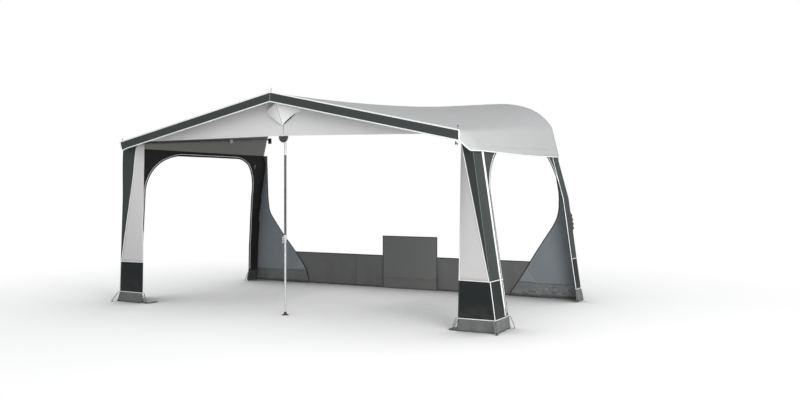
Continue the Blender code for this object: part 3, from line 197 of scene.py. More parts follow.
ARCH_SPRING_HEIGHT = EAVE_HEIGHT - ARCH_SPRING_DROP
ARCH_REAR_HEIGHT = EAVE_HEIGHT - ARCH_REAR_DROP
FLAP_TOP = PILLAR_TOP
FRAME_CLEAR = CLAMP_RADIUS + CLOTH / 2 + GAP
FRAME_DEPTH = ROOF_DEPTH - FRAME_CLEAR
SEAM = CLOTH / 2
GABLE_DEPTH = ROOF_DEPTH - GABLE_SETBACK
LIGHT_PANEL_TOP = GABLE_HEM_HEIGHT - GABLE_HEM_DIP - 2 * GAP
FLAP_FRONT = FLAP_DEPTH + CLOTH / 2 + GAP


def at(x, depth, height):
    """The point at x along the wall, a distance in front of it, and a height over the ground."""
    return Vector((x, WALL_Y - depth, height))


def mix(low, high, share):
    return low + (high - low) * share


def along(table, value):
    """Read a table of (value, result) pairs, in rising order, with straight lines between them."""
    for (low, first), (high, second) in zip(table, table[1:]):
        if value <= high:
            return mix(first, second, (value - low) / (high - low))
    return table[-1][1]


def spread(low, high, steps):
    return [mix(low, high, step / steps) for step in range(steps + 1)]


def rail_curve():
    """The rail from the end of its flat top down to its low end, as (x, height)."""
    start = Vector((RAIL_FLAT_REACH, RAIL_HEIGHT, 0))
    end = Vector((RAIL_END_REACH, RAIL_END_HEIGHT, 0))
    lean = Vector((-math.sin(RAIL_END_LEAN), math.cos(RAIL_END_LEAN), 0))
    first = start + Vector((RAIL_TOP_HANDLE, 0, 0))
    second = end + lean * RAIL_END_HANDLE
    points = interpolate_bezier(start, first, second, end, RAIL_STEPS * 2 + 1)
    return [Vector(point[:2]) for point in points]


RAIL = [Vector((0, RAIL_HEIGHT))] + rail_curve()


def rail_point(share):
    """The point at a share of the rail's length from the ridge to the low end."""
    lengths = [0]
    for first, second in zip(RAIL, RAIL[1:]):
        lengths.append(lengths[-1] + (second - first).length)
    return along(list(zip(lengths, RAIL)), share * lengths[-1])


def rail_length_share():
    """The share of the rail's length at which the roof's seam with the side drop ends."""
    flat = RAIL_FLAT_REACH
    curved = sum((second - first).length for first, second in zip(RAIL[1:], RAIL[2:]))
    return (flat + RAIL_SEAM_SHARE * curved) / (flat + curved)


SEAM_SHARE = rail_length_share()


def roof_point(side, across, depth):
    """Across is 0 at the ridge and 1 at the seam with the side drop."""
    front = Vector((EAVE_REACH * across, mix(PEAK_HEIGHT, EAVE_HEIGHT, across)))
    rear = rail_point(SEAM_SHARE * across)
    place = front.lerp(rear, 1 - depth / ROOF_DEPTH)
    return at(side * place.x, depth, place.y)


def drop_hem(depth):
    """The lower edge of the side drop at a distance in front of the wall, as (x, height)."""
    front = ROOF_DEPTH - SEAM
    edge = (
        (0, Vector((RAIL_END_REACH, RAIL_END_HEIGHT))),
        (ROOF_DEPTH / 2, Vector((DROP_SIDE_REACH, DROP_HEM_HEIGHT + CLOTH))),
        (ROOF_DEPTH - DROP_SIDE_SETBACK, Vector((DROP_SIDE_REACH, DROP_HEM_HEIGHT))),
        (ROOF_DEPTH - DROP_TURN_SETBACK, Vector((DROP_TURN_REACH, DROP_HEM_HEIGHT))),
        (front, Vector((EAVE_REACH + DROP_FRONT_FLARE, DROP_FRONT_HEIGHT))),
    )
    return along(edge, depth)


def drop_point(side, share, depth):
    """Share is 0 at the roof's seam and 1 at the hem of the side drop."""
    seam = roof_point(1, 1, depth)
    place = Vector((seam.x, seam.z)).lerp(drop_hem(depth), share)
    return at(side * place.x, depth, place.y)


def left_drop_share(depth):
    """How far down the left side drop reaches, against the right one, whose hem hangs lower."""
    fall = drop_point(1, 0, depth).z - drop_point(1, 1, depth).z
    lift = LEFT_HEM_LIFT * max(0, min(1, (ROOF_DEPTH - SEAM - depth) / DROP_TURN_SETBACK))
    return 1 - lift / fall


def under_drop(side, depth, height=PILLAR_TOP):
    """A point of the side wall's top edge, just inside the side drop."""
    seam = drop_point(1, 0, depth)
    hem = drop_point(1, 1, depth)
    fall = hem - seam
    inward = Vector((fall.z, 0, -fall.x)).normalized()
    point = seam + fall * ((height - seam.z) / fall.z) + inward * DROP_CLEAR
    return Vector((side * point.x, point.y, point.z))


def ridge_axis(depth):
    """The centre line of the ridge pole, a fitting's clearance under the ridge."""
    slope = math.atan2(PEAK_HEIGHT - EAVE_HEIGHT, EAVE_REACH)
    roof_height = mix(RAIL_HEIGHT, PEAK_HEIGHT, depth / ROOF_DEPTH)
    return at(0, depth, roof_height - FRAME_CLEAR / math.cos(slope))


def inner_line(height):
    share = 1 - height / LIGHT_PANEL_TOP
    return at(mix(INNER_TOP_REACH, INNER_FOOT_REACH, share),
              mix(INNER_TOP_DEPTH, INNER_FOOT_DEPTH, share), height)


def kinked_line(kink_reach, kink_depth, foot_reach, foot_depth, height):
    """A straight line up to the kink, then in under the side drop to the top."""
    if height <= PILLAR_KINK:
        share = height / PILLAR_KINK
        return at(mix(foot_reach, kink_reach, share), mix(foot_depth, kink_depth, share), height)
    kink = at(kink_reach, kink_depth, PILLAR_KINK)
    share = (height - PILLAR_KINK) / (PILLAR_TOP - PILLAR_KINK)
    return kink.lerp(under_drop(1, kink_depth), share)


def fold_line(height):
    return kinked_line(FOLD_KINK_REACH, FOLD_KINK_DEPTH, FOLD_FOOT_REACH, FOLD_FOOT_DEPTH, height)


def zip_line(height):
    return kinked_line(ZIP_KINK_REACH, ZIP_KINK_DEPTH, ZIP_FOOT_REACH, ZIP_FOOT_DEPTH, height)


def divide_line(height):
    """The seam on the pillar's front between its light and its charcoal cloth."""
    foot = fold_line(BOX_TOP) + Vector((-DIVIDE_FOOT_INSET, 0, 0))
    top = at(DIVIDE_TOP_REACH, DIVIDE_TOP_DEPTH, PILLAR_TOP)
    return foot.lerp(top, (height - BOX_TOP) / (PILLAR_TOP - BOX_TOP))


def depth_of(point):
    return WALL_Y - point.y


def wall_reach(height):
    """Where the side wall meets the caravan's wall."""
    return along((
        (0, WALL_FOOT_REACH), (BOX_FOOT, WALL_HEM_REACH), (WALL_LOW_HEIGHT, WALL_LOW_REACH),
        (WALL_MIDDLE_HEIGHT, WALL_MIDDLE_REACH), (PILLAR_KINK, WALL_KINK_REACH)), height)


def side_point(depth, height):
    """A point of the side wall behind the zip, for the right-hand side."""
    if height > PILLAR_KINK:
        share = (height - PILLAR_KINK) / (PILLAR_TOP - PILLAR_KINK)
        return side_point(depth, PILLAR_KINK).lerp(under_drop(1, depth), share)
    seam = zip_line(height)
    share = 1 - depth / depth_of(seam)
    return at(mix(seam.x, wall_reach(height), share), depth, height)


def left_inset(point):
    """How much further in the left wall stands than the right one, most at the foot of its rear leg."""
    height = min(point.z, PILLAR_TOP)
    behind = max(0, 1 - depth_of(point) / depth_of(zip_line(min(height, PILLAR_KINK))))
    return LEFT_LEG_INSET * along(LEFT_LEG_SHARES, height / PILLAR_TOP) * behind


def placed(point, side):
    """A point of the right-hand side, or its place on the left-hand side."""
    if side > 0:
        return point
    return Vector((left_inset(point) - point.x, point.y, point.z))


def mirrored(rows, side):
    return [[placed(point, side) for point in row] for row in rows]


def beside(point, target, distance):
    """The point moved straight towards a target by a distance."""
    return point.lerp(target, distance / (target - point).length)


def zip_edge(height, towards_wall):
    """An edge of the cloth beside the zip."""
    seam = zip_line(height)
    if towards_wall:
        return side_point(depth_of(seam) - ZIP_EDGE, height)
    return beside(seam, fold_line(height), ZIP_EDGE)


def arch_edge(turn, centre_depth, spring_height, width):
    """A point of one of the arch's two round corners, each a quarter of an ellipse."""
    depth = centre_depth + width * math.cos(turn)
    height = spring_height + (ARCH_TOP - spring_height) * math.sin(turn)
    return side_point(depth, height)


def wall_edge(height):
    """The side wall's rear edge, in the corner between it and the rear flap."""
    flat = max(height, HEM_STAND)
    point = side_point(FLAP_FRONT, flat)
    return Vector((point.x, point.y, height))


def flap_edge(height, shares):
    """The free edge of a rear flap, from a table of shares of its height and of the eave's reach."""
    return EAVE_REACH * along(shares, height / FLAP_TOP)


def elbow_axis():
    """The centre of the right-hand corner elbow, clear of the roof, the drop and the band."""
    slope = (PEAK_HEIGHT - EAVE_HEIGHT) / EAVE_REACH
    x = EAVE_REACH - FRAME_CLEAR
    drop = FRAME_CLEAR * math.sqrt(1 + slope * slope)
    return at(x, FRAME_DEPTH, PEAK_HEIGHT - slope * x - drop)


# Sizes of the sewn details

SHEET = 0.0012
HOME = "awning"
PIPING = 0.0042
BAND_PIPING = 0.0060
ARCH_PIPING = 0.0042
ARCH_BINDING = 0.022
BINDING_WIDTH = 0.016
BINDING_THICKNESS = 0.003
TOOTH_PITCH = 0.008
STRAP_GAUGE = 0.030
HOOD_RIGHT_REACH = 0.012
BAND_END_LEAN = 0.028
LEFT_FOLD_TOP = 1.742
LEFT_FOLD_OUT = 0.018
LEFT_PANEL_IN = 0.012
LEFT_DIVIDE_OUT = 0.016
LEFT_CORNER_LIFT = 0.028
LEFT_SPRING_BACK = 0.045
LEFT_PIPING_START = 2.60
RIGHT_CORNER_WIDER = 0.08
LEG_SKIRT_TOP = 0.145
LEG_BOX_TOP = 0.495
GATHER_LOW = 0.80
GATHER_HIGH = 1.05
GATHER_OUT = 0.016
GATHER_ROWS = [GATHER_LOW + 0.0125 * step for step in range(21)]
PEG_HEIGHT = 0.003
INNER_PEG = (1.908, 2.572)
FRONT_PEG = (2.370, 2.645)
REAR_PEG = (2.392, 2.215)
LEG_PEG_REACH = 2.475
STRAP_RUNGS = (0.30, 0.52, 0.74, 0.97)
RETURN_FRONT = 2.575
RETURN_REAR = 2.385
DRAUGHT_SEAMS = (-0.62, 1.05)
HOOK_REACH = 2.043
HOOK_DROP = 0.036
HOOK_RADIUS = 0.0090
ROOF_EYELET_RADIUS = 0.0085
FLAP_EYELET_RADIUS = 0.0075
RIGHT_CRUMPLE = 0.028
LEFT_CRUMPLE = 0.008

FRONT = Vector((0, -1, 0))
UP = Vector((0, 0, 1))
SIDES_OF_IT = (("left", -1), ("right", 1))

# Flat tapes, hems and seams: the width and thickness of each

FLAT_TRIMS = {
    "roof_drop_seams": (0.004, 0.0016),
    "band_peak_seam": (0.004, 0.0016),
    "gable_hem_binding": (BINDING_WIDTH, BINDING_THICKNESS),
    "gable_middle_seam": (0.005, 0.0016),
    "vent_hood_fold": (0.0045, 0.0016),
    "pillar_inner_hem_": (0.014, 0.0022),
    "pillar_box_hem_": (0.012, 0.0020),
    "pillar_skirt_hem_": (0.010, 0.0018),
    "pillar_straps_": (0.008, 0.0018),
    "pillar_strap_tips_": (0.016, 0.003),
    "zip_tape_": (0.034, 0.0012),
    "zip_teeth_": (TOOTH_PITCH * 0.46, 0.0024),
    "arch_binding_": (ARCH_BINDING, 0.0034),
    "leg_straps_": (0.006, 0.0016),
    "flap_edge_binding_": (0.012, 0.0018),
    "flap_mud_seam_": (0.006, 0.0016),
    "flap_mud_hem_": (0.030, 0.0018),
    "draught_skirt_rail_hem": (0.014, 0.0018),
    "draught_skirt_hem": (0.018, 0.0016),
    "draught_skirt_seams": (0.006, 0.0014),
    "wheel_cover_hem": (0.012, 0.0016),
}

# Round piping, rings and caps: the radius of each, and how many sides it has

ROUND_TRIMS = {
    "roof_drop_piping": (BAND_PIPING, 8),
    "roof_rail_bead": (0.0042, 8),
    "band_lower_piping": (BAND_PIPING, 8),
    "band_upper_piping": (0.0072, 8),
    "vent_hood_lips": (0.0068, 8),
    "tongue_piping": (0.0040, 8),
    "pillar_divide_piping_": (PIPING, 8),
    "pillar_fold_welt_": (0.0028, 6),
    "pillar_box_piping_": (PIPING, 8),
    "zip_guard_piping_": (0.0034, 6),
    "arch_piping_": (ARCH_PIPING, 8),
    "arch_inner_piping_": (ARCH_PIPING, 8),
    "leg_seam_piping_": (PIPING, 8),
    "leg_box_piping_": (PIPING, 8),
    "flap_eyelets_": (0.0022, 6),
    "spike_caps_pale": (0.0061, 10),
    "spike_cap_dark": (0.0058, 10),
    "band_hook": (0.0052, 8),
    "roof_eyelets": (0.0021, 6),
}


# Camera, light and floor

SENSOR_WIDTH = 36
LENS = 36.2528
SHIFT_UP = -0.01442
CAMERA_PLACE = (4.887 - MIDDLE_X, -8.0435, 1.315)
CAMERA_TURN = 27.163
SKY_LOW = 1.10
SKY_TOP = 0.33
LAMP_AZIMUTH = 54
LAMP_ELEVATION = 13
LAMP_DISTANCE = 11
LAMP_SIZE = 6.0
LAMP_POWER = 590
FLOOR_RADIUS = 26
FLOOR_LEVEL = -0.0012
FLOOR_FADE = (2.6, 6.5)
# Reach and levels of the floor's painted shadow, from ambient occlusion
FLOOR_SHADE_REACH = 2.4
FLOOR_HIDDEN = 0.25
FLOOR_PAINTED_SHADOW = 0.22
FLOOR_PALE = 0.92
FLOOR_LIFT = 0.34


def camera():
    """The photo's camera, level, with the lens shifted a little."""
    data = bpy.data.cameras.new("camera")
    data.sensor_width = SENSOR_WIDTH
    data.lens = LENS
    data.shift_y = SHIFT_UP
    view = bpy.data.objects.new("camera", data)
    bpy.context.scene.collection.objects.link(view)
    view.location = CAMERA_PLACE
    view.rotation_euler = (math.radians(90), 0, math.radians(CAMERA_TURN))
    bpy.context.scene.camera = view


def soft_light(name, azimuth, elevation, distance, size, power, colour):
    data = bpy.data.lights.new(name, "AREA")
    data.shape = "DISK"
    data.size = size
    data.energy = power
    data.color = colour
    lamp = bpy.data.objects.new(name, data)
    bpy.context.scene.collection.objects.link(lamp)
    turn, rise = math.radians(azimuth), math.radians(elevation)
    towards = Vector((math.sin(turn) * math.cos(rise), -math.cos(turn) * math.cos(rise), math.sin(rise)))
    lamp.location = towards * distance + Vector((0, 0, 1))
    lamp.rotation_euler = towards.to_track_quat("Z", "Y").to_euler()


def node(tree, kind, inputs=None, **settings):
    """A node with its settings and its inputs, each a value or another node's socket."""
    made = tree.nodes.new(kind)
    for key, value in settings.items():
        setattr(made, key, value)
    for key, value in (inputs or {}).items():
        if isinstance(value, bpy.types.NodeSocket):
            tree.links.new(value, made.inputs[key])
        else:
            made.inputs[key].default_value = value
    return made


def seen_rays(tree):
    """1 for what the camera, a mirror or glass sees directly, 0 for light on the object."""
    path = node(tree, "ShaderNodeLightPath")
    first = node(tree, "ShaderNodeMath", {0: path.outputs["Is Camera Ray"], 1: path.outputs["Is Glossy Ray"]},
                 operation="MAXIMUM")
    return node(tree, "ShaderNodeMath", {0: first.outputs[0], 1: path.outputs["Is Transmission Ray"]},
                operation="MAXIMUM").outputs[0]


def studio():
    """A sky that is brighter near the ground, white to the camera, and one soft lamp."""
    world = bpy.data.worlds.new("studio")
    bpy.context.scene.world = world
    world.use_nodes = True
    tree = world.node_tree
    tree.nodes.clear()
    place = node(tree, "ShaderNodeTexCoord")
    height = node(tree, "ShaderNodeSeparateXYZ", {0: place.outputs["Generated"]})
    level = node(tree, "ShaderNodeMapRange", {"Value": height.outputs["Z"], "From Min": 0.0, "From Max": 0.9,
                                              "To Min": SKY_LOW, "To Max": SKY_TOP})
    sky = node(tree, "ShaderNodeBackground", {"Color": (0.97, 0.985, 1.0, 1), "Strength": level.outputs[0]})
    white = node(tree, "ShaderNodeBackground", {"Color": (1, 1, 1, 1), "Strength": 1.0})
    both = node(tree, "ShaderNodeMixShader", {0: seen_rays(tree), 1: sky.outputs[0], 2: white.outputs[0]})
    node(tree, "ShaderNodeOutputWorld", {"Surface": both.outputs[0]})
    soft_light("front_right_softbox", LAMP_AZIMUTH, LAMP_ELEVATION, LAMP_DISTANCE, LAMP_SIZE, LAMP_POWER,
               (1.0, 0.99, 0.97))
    bpy.context.scene.view_settings.view_transform = "Standard"


def studio_floor():
    """White paper with a painted shadow: ambient occlusion darkens its colour and dims its glow under and
    close around the awning.
    """
    mesh = bpy.data.meshes.new("studio_floor")
    shape = bmesh.new()
    bmesh.ops.create_circle(shape, cap_ends=True, segments=96, radius=FLOOR_RADIUS)
    shape.to_mesh(mesh)
    shape.free()
    floor = bpy.data.objects.new("studio_floor", mesh)
    bpy.context.scene.collection.objects.link(floor)
    floor.location = (0, 0, FLOOR_LEVEL)
    material = bpy.data.materials.new("studio_floor")
    material.use_nodes = True
    tree = material.node_tree
    tree.nodes.clear()
    place = node(tree, "ShaderNodeTexCoord")
    away = node(tree, "ShaderNodeVectorMath", {0: place.outputs["Object"]}, operation="LENGTH")
    fade = node(tree, "ShaderNodeMapRange",
                {"Value": away.outputs["Value"], "From Min": FLOOR_FADE[0], "From Max": FLOOR_FADE[1]},
                interpolation_type="SMOOTHSTEP")
    # Painted shadow: the occlusion darkens the paper's colour and its glow to the camera near the awning.
    open_sky = node(tree, "ShaderNodeAmbientOcclusion", {"Distance": FLOOR_SHADE_REACH}, samples=8)
    open_sky = open_sky.outputs["AO"]
    shade = node(tree, "ShaderNodeMapRange",
                 {"Value": open_sky, "From Min": FLOOR_HIDDEN, "To Min": FLOOR_PAINTED_SHADOW, "To Max": FLOOR_PALE})
    paper = node(tree, "ShaderNodeBsdfDiffuse", {"Color": shade.outputs[0]})
    seen = seen_rays(tree)
    light = node(tree, "ShaderNodeMapRange",
                 {"Value": open_sky, "From Min": FLOOR_HIDDEN, "To Max": FLOOR_LIFT})
    lift = node(tree, "ShaderNodeMath", {0: seen, 1: light.outputs[0]}, operation="MULTIPLY")
    glow = node(tree, "ShaderNodeEmission", {"Color": (1, 1, 1, 1), "Strength": lift.outputs[0]})
    near = node(tree, "ShaderNodeAddShader", {0: paper.outputs[0], 1: glow.outputs[0]})
    white = node(tree, "ShaderNodeEmission", {"Color": (1, 1, 1, 1), "Strength": 1.0})
    far = node(tree, "ShaderNodeMath", {0: fade.outputs[0], 1: seen}, operation="MULTIPLY")
    both = node(tree, "ShaderNodeMixShader", {0: far.outputs[0], 1: near.outputs[0], 2: white.outputs[0]})
    node(tree, "ShaderNodeOutputMaterial", {"Surface": both.outputs[0]})
    mesh.materials.append(material)


# Effects that the finishes share

def group(name, inputs, outputs):
    tree = bpy.data.node_groups.new(name, "ShaderNodeTree")
    for label, kind, value in inputs:
        socket = tree.interface.new_socket(label, in_out="INPUT", socket_type="NodeSocket" + kind)
        if value is not None:
            socket.default_value = value
    for label, kind in outputs:
        tree.interface.new_socket(label, in_out="OUTPUT", socket_type="NodeSocket" + kind)
    return tree, tree.nodes.new("NodeGroupInput").outputs, tree.nodes.new("NodeGroupOutput").inputs


def number(tree, operation, first, second=0.0, third=0.0):
    return node(tree, "ShaderNodeMath", {0: first, 1: second, 2: third}, operation=operation).outputs[0]


def plain_weave():
    """Crossing threads on the cloth's flat map: over and under, at so many threads a metre."""
    tree, given, out = group("plain_weave", [("Map", "Vector", None), ("Threads", "Float", 420.0)],
                             [("Height", "Float"), ("Shade", "Float")])
    scaled = node(tree, "ShaderNodeVectorMath", {0: given["Map"], "Scale": given["Threads"]},
                  operation="SCALE")
    split = node(tree, "ShaderNodeSeparateXYZ", {0: scaled.outputs[0]})
    warp = number(tree, "SINE", number(tree, "MULTIPLY", split.outputs["X"], math.pi))
    weft = number(tree, "SINE", number(tree, "MULTIPLY", split.outputs["Y"], math.pi))
    height = number(tree, "MULTIPLY_ADD", number(tree, "MULTIPLY", warp, weft), 0.5, 0.5)
    tree.links.new(height, out["Height"])
    slub = node(tree, "ShaderNodeTexNoise", {"Vector": given["Map"], "Scale": 160.0, "Detail": 2.0})
    shade = node(tree, "ShaderNodeMapRange", {"Value": slub.outputs[0], "From Min": 0.3, "From Max": 0.7,
                                              "To Min": 0.965, "To Max": 1.035})
    # Painted shade: the Shade output darkens the valleys between crossing threads by up to 5 %, on top of the
    # slub's random tone.
    tree.links.new(number(tree, "MULTIPLY", shade.outputs[0],
                          number(tree, "MULTIPLY_ADD", height, 0.05, 0.975)), out["Shade"])
    return tree


def cloth_ageing():
    """Cloudy fading over the width of a panel, and grime that gathers near the ground."""
    tree, given, out = group(
        "cloth_ageing",
        [("Colour", "Color", None), ("Grime", "Color", None), ("Fading", "Float", 0.06),
         ("Grime Reach", "Float", 0.25), ("Grime Amount", "Float", 0.3), ("Shade", "Float", 1.0)],
        [("Colour", "Color"), ("Wear", "Float")])
    place = node(tree, "ShaderNodeTexCoord").outputs["Object"]
    broad = node(tree, "ShaderNodeTexNoise", {"Vector": place, "Scale": 1.7, "Detail": 3.0})
    small = node(tree, "ShaderNodeTexNoise", {"Vector": place, "Scale": 14.0, "Detail": 4.0})
    swing = number(tree, "MULTIPLY_ADD", number(tree, "SUBTRACT", broad.outputs[0], 0.5),
                   given["Fading"], 1.0)
    swing = number(tree, "MULTIPLY_ADD", number(tree, "SUBTRACT", small.outputs[0], 0.5),
                   number(tree, "MULTIPLY", given["Fading"], 0.5), swing)
    # The weave's Shade scales the tone here, so the painted shade in its thread valleys reaches the colour.
    tone = node(tree, "ShaderNodeVectorMath",
                {0: given["Colour"], "Scale": number(tree, "MULTIPLY", swing, given["Shade"])},
                operation="SCALE")
    height = node(tree, "ShaderNodeSeparateXYZ", {0: place}).outputs["Z"]
    low = number(tree, "SUBTRACT", 1.0, number(tree, "DIVIDE", height, given["Grime Reach"]))
    low = node(tree, "ShaderNodeClamp", {0: low}).outputs[0]
    patch = node(tree, "ShaderNodeMapRange", {"Value": small.outputs[0], "From Min": 0.35, "From Max": 0.65})
    mask = number(tree, "MULTIPLY", number(tree, "MULTIPLY", low, patch.outputs[0]), given["Grime Amount"])
    dirty = node(tree, "ShaderNodeMix", {0: mask, 6: tone.outputs[0], 7: given["Grime"]}, data_type="RGBA")
    tree.links.new(dirty.outputs[2], out["Colour"])
    tree.links.new(number(tree, "MULTIPLY_ADD", patch.outputs[0], 0.5, number(tree, "MULTIPLY", mask, 0.5)),
                   out["Wear"])
    return tree


def soft_creases():
    """Small rumples left by folding the cloth away."""
    tree, given, out = group("soft_creases", [("Scale", "Float", 9.0)], [("Height", "Float")])
    place = node(tree, "ShaderNodeTexCoord").outputs["Object"]
    bend = node(tree, "ShaderNodeTexNoise", {"Vector": place, "Scale": given["Scale"], "Detail": 3.0,
                                             "Roughness": 0.45, "Distortion": 0.8})
    fold = number(tree, "ABSOLUTE", number(tree, "SUBTRACT", bend.outputs[0], 0.5))
    tree.links.new(number(tree, "SUBTRACT", 1.0, number(tree, "MULTIPLY", fold, 2.0)), out["Height"])
    return tree


def stitch_rows():
    """Stitches along a strip's flat map: x runs along it, and the rows lie at a distance from its middle."""
    tree, given, out = group(
        "stitch_rows",
        [("Map", "Vector", None), ("Pitch", "Float", 0.006), ("Row", "Float", 0.005)],
        [("Mask", "Float"), ("Height", "Float")])
    split = node(tree, "ShaderNodeSeparateXYZ", {0: given["Map"]})
    step = number(tree, "FRACT", number(tree, "DIVIDE", split.outputs["X"], given["Pitch"]))
    dash = number(tree, "LESS_THAN", step, 0.66)
    off = number(tree, "ABSOLUTE", number(tree, "SUBTRACT", number(tree, "ABSOLUTE", split.outputs["Y"]),
                                          given["Row"]))
    line = number(tree, "LESS_THAN", off, 0.0008)
    mask = number(tree, "MULTIPLY", dash, line)
    tree.links.new(mask, out["Mask"])
    groove = node(tree, "ShaderNodeMapRange", {"Value": off, "From Min": 0.0, "From Max": 0.002})
    tree.links.new(number(tree, "MULTIPLY_ADD", mask, 0.5, groove.outputs[0]), out["Height"])
    return tree


def moulded_grain():
    """The fine spark-eroded grain and faint flow clouding of moulded plastic."""
    tree, given, out = group("moulded_grain", [("Colour", "Color", None), ("Grain", "Float", 900.0)],
                             [("Colour", "Color"), ("Height", "Float"), ("Gloss", "Float")])
    place = node(tree, "ShaderNodeTexCoord").outputs["Object"]
    fine = node(tree, "ShaderNodeTexNoise", {"Vector": place, "Scale": given["Grain"], "Detail": 2.0})
    cloud = node(tree, "ShaderNodeTexNoise", {"Vector": place, "Scale": 30.0, "Detail": 3.0})
    swing = number(tree, "MULTIPLY_ADD", cloud.outputs[0], 0.24, 0.88)
    tone = node(tree, "ShaderNodeVectorMath", {0: given["Colour"], "Scale": swing}, operation="SCALE")
    tree.links.new(tone.outputs[0], out["Colour"])
    tree.links.new(fine.outputs[0], out["Height"])
    tree.links.new(number(tree, "MULTIPLY_ADD", cloud.outputs[0], 0.2, 0.35), out["Gloss"])
    return tree


def drawn_tube():
    """Long draw marks, dulled patches and small rubs on a steel tube."""
    tree, given, out = group("drawn_tube", [("Colour", "Color", None), ("Dull", "Color", None)],
                             [("Colour", "Color"), ("Height", "Float"), ("Gloss", "Float")])
    place = node(tree, "ShaderNodeTexCoord").outputs["Object"]
    fine = node(tree, "ShaderNodeTexNoise", {"Vector": place, "Scale": 420.0, "Detail": 2.0})
    patch = node(tree, "ShaderNodeTexNoise",
                 {"Vector": place, "Scale": 11.0, "Detail": 5.0, "Roughness": 0.65})
    mask = node(tree, "ShaderNodeMapRange", {"Value": patch.outputs[0], "From Min": 0.42, "From Max": 0.68})
    tone = node(tree, "ShaderNodeMix", {0: mask.outputs[0], 6: given["Colour"], 7: given["Dull"]},
                data_type="RGBA")
    tree.links.new(tone.outputs[2], out["Colour"])
    tree.links.new(fine.outputs[0], out["Height"])
    tree.links.new(number(tree, "MULTIPLY_ADD", mask.outputs[0], 0.22, 0.30), out["Gloss"])
    return tree


WEAVE = plain_weave()
AGEING = cloth_ageing()
CREASES = soft_creases()
STITCHES = stitch_rows()
GRAIN = moulded_grain()
DRAWN = drawn_tube()


def place_group(tree, shared, inputs):
    return node(tree, "ShaderNodeGroup", inputs, node_tree=shared).outputs


def new_finish(name):
    material = bpy.data.materials.new(name)
    material.use_nodes = True
    return material, material.node_tree, material.node_tree.nodes["Principled BSDF"]


def bump(tree, height, strength, distance, normal=None):
    made = node(tree, "ShaderNodeBump", {"Height": height, "Strength": strength, "Distance": distance})
    if normal:
        tree.links.new(normal, made.inputs["Normal"])
    return made.outputs[0]


def cloth_finish(name, colour, roughness, grime=(0.16, 0.14, 0.12), fading=0.10, reach=0.3, amount=0.35,
                 threads=420.0, crease=9.0, crease_depth=0.004, sheen=0.02, stitched=None, coat=0.0):
    """Woven, coated cloth: threads, fading, grime from the ground, small rumples, and stitches on a strip."""
    material, tree, shader = new_finish(name)
    flat_map = node(tree, "ShaderNodeUVMap", uv_map="flat").outputs[0]
    weave = place_group(tree, WEAVE, {"Map": flat_map, "Threads": threads})
    aged = place_group(tree, AGEING, {"Colour": (*colour, 1), "Grime": (*grime, 1), "Fading": fading,
                                      "Grime Reach": reach, "Grime Amount": amount, "Shade": weave["Shade"]})
    rumple = place_group(tree, CREASES, {"Scale": crease})
    normal = bump(tree, rumple["Height"], 0.5, crease_depth)
    normal = bump(tree, weave["Height"], 0.35, 0.0003, normal)
    base = aged["Colour"]
    if stitched:
        thread, row = stitched
        rows = place_group(tree, STITCHES, {"Map": flat_map, "Pitch": 0.0065, "Row": row})
        sewn = node(tree, "ShaderNodeMix", {0: rows["Mask"], 6: base, 7: (*thread, 1)}, data_type="RGBA")
        base = sewn.outputs[2]
        normal = bump(tree, rows["Height"], 0.7, 0.0006, normal)
    tree.links.new(base, shader.inputs["Base Color"])
    rough = node(tree, "ShaderNodeMapRange", {"Value": aged["Wear"], "To Min": roughness - 0.08,
                                              "To Max": roughness + 0.08})
    tree.links.new(rough.outputs[0], shader.inputs["Roughness"])
    tree.links.new(normal, shader.inputs["Normal"])
    shader.inputs["Sheen Weight"].default_value = sheen
    shader.inputs["Sheen Roughness"].default_value = 0.6
    shader.inputs["Specular IOR Level"].default_value = 0.15
    shader.inputs["Coat Weight"].default_value = coat
    shader.inputs["Coat Roughness"].default_value = 0.2
    return material


def plastic_finish(name, colour, roughness_shift=0.0):
    material, tree, shader = new_finish(name)
    grain = place_group(tree, GRAIN, {"Colour": (*colour, 1), "Grain": 900.0})
    tree.links.new(grain["Colour"], shader.inputs["Base Color"])
    tree.links.new(number(tree, "ADD", grain["Gloss"], roughness_shift), shader.inputs["Roughness"])
    tree.links.new(bump(tree, grain["Height"], 0.25, 0.0002), shader.inputs["Normal"])
    return material


def metal_finish(name, colour, dull, metallic):
    material, tree, shader = new_finish(name)
    drawn = place_group(tree, DRAWN, {"Colour": (*colour, 1), "Dull": (*dull, 1)})
    tree.links.new(drawn["Colour"], shader.inputs["Base Color"])
    tree.links.new(drawn["Gloss"], shader.inputs["Roughness"])
    tree.links.new(bump(tree, drawn["Height"], 0.15, 0.0002), shader.inputs["Normal"])
    shader.inputs["Metallic"].default_value = metallic
    return material


LIGHT_GRIME = (0.36, 0.34, 0.31)
ROOF_CLOTH = cloth_finish("roof_cloth", (0.500, 0.510, 0.512), 0.62, LIGHT_GRIME, fading=0.05, amount=0.0)
# Painted shade: the inner sides of the roof and the side walls get darker copies of their cloths, standing
# for the shade inside the awning.
ROOF_INSIDE_SHADE = cloth_finish("roof_inside_painted_shade", (0.240, 0.236, 0.222), 0.75, fading=0.10, amount=0.0)
WALL_INSIDE_SHADE = cloth_finish("wall_inside_painted_shade", (0.016, 0.016, 0.016), 0.80, fading=0.16, amount=0.2)
BAND_CLOTH = cloth_finish("charcoal_cloth", (0.046, 0.053, 0.052), 0.72, fading=0.16, amount=0.25)
BOX_CLOTH = cloth_finish("box_cloth", (0.015, 0.018, 0.019), 0.74, fading=0.16, amount=0.30, crease=14.0)
PANEL_CLOTH = cloth_finish("light_cloth", (0.615, 0.603, 0.604), 0.70, LIGHT_GRIME, fading=0.06, reach=0.7,
                           amount=0.20, crease=5.0)
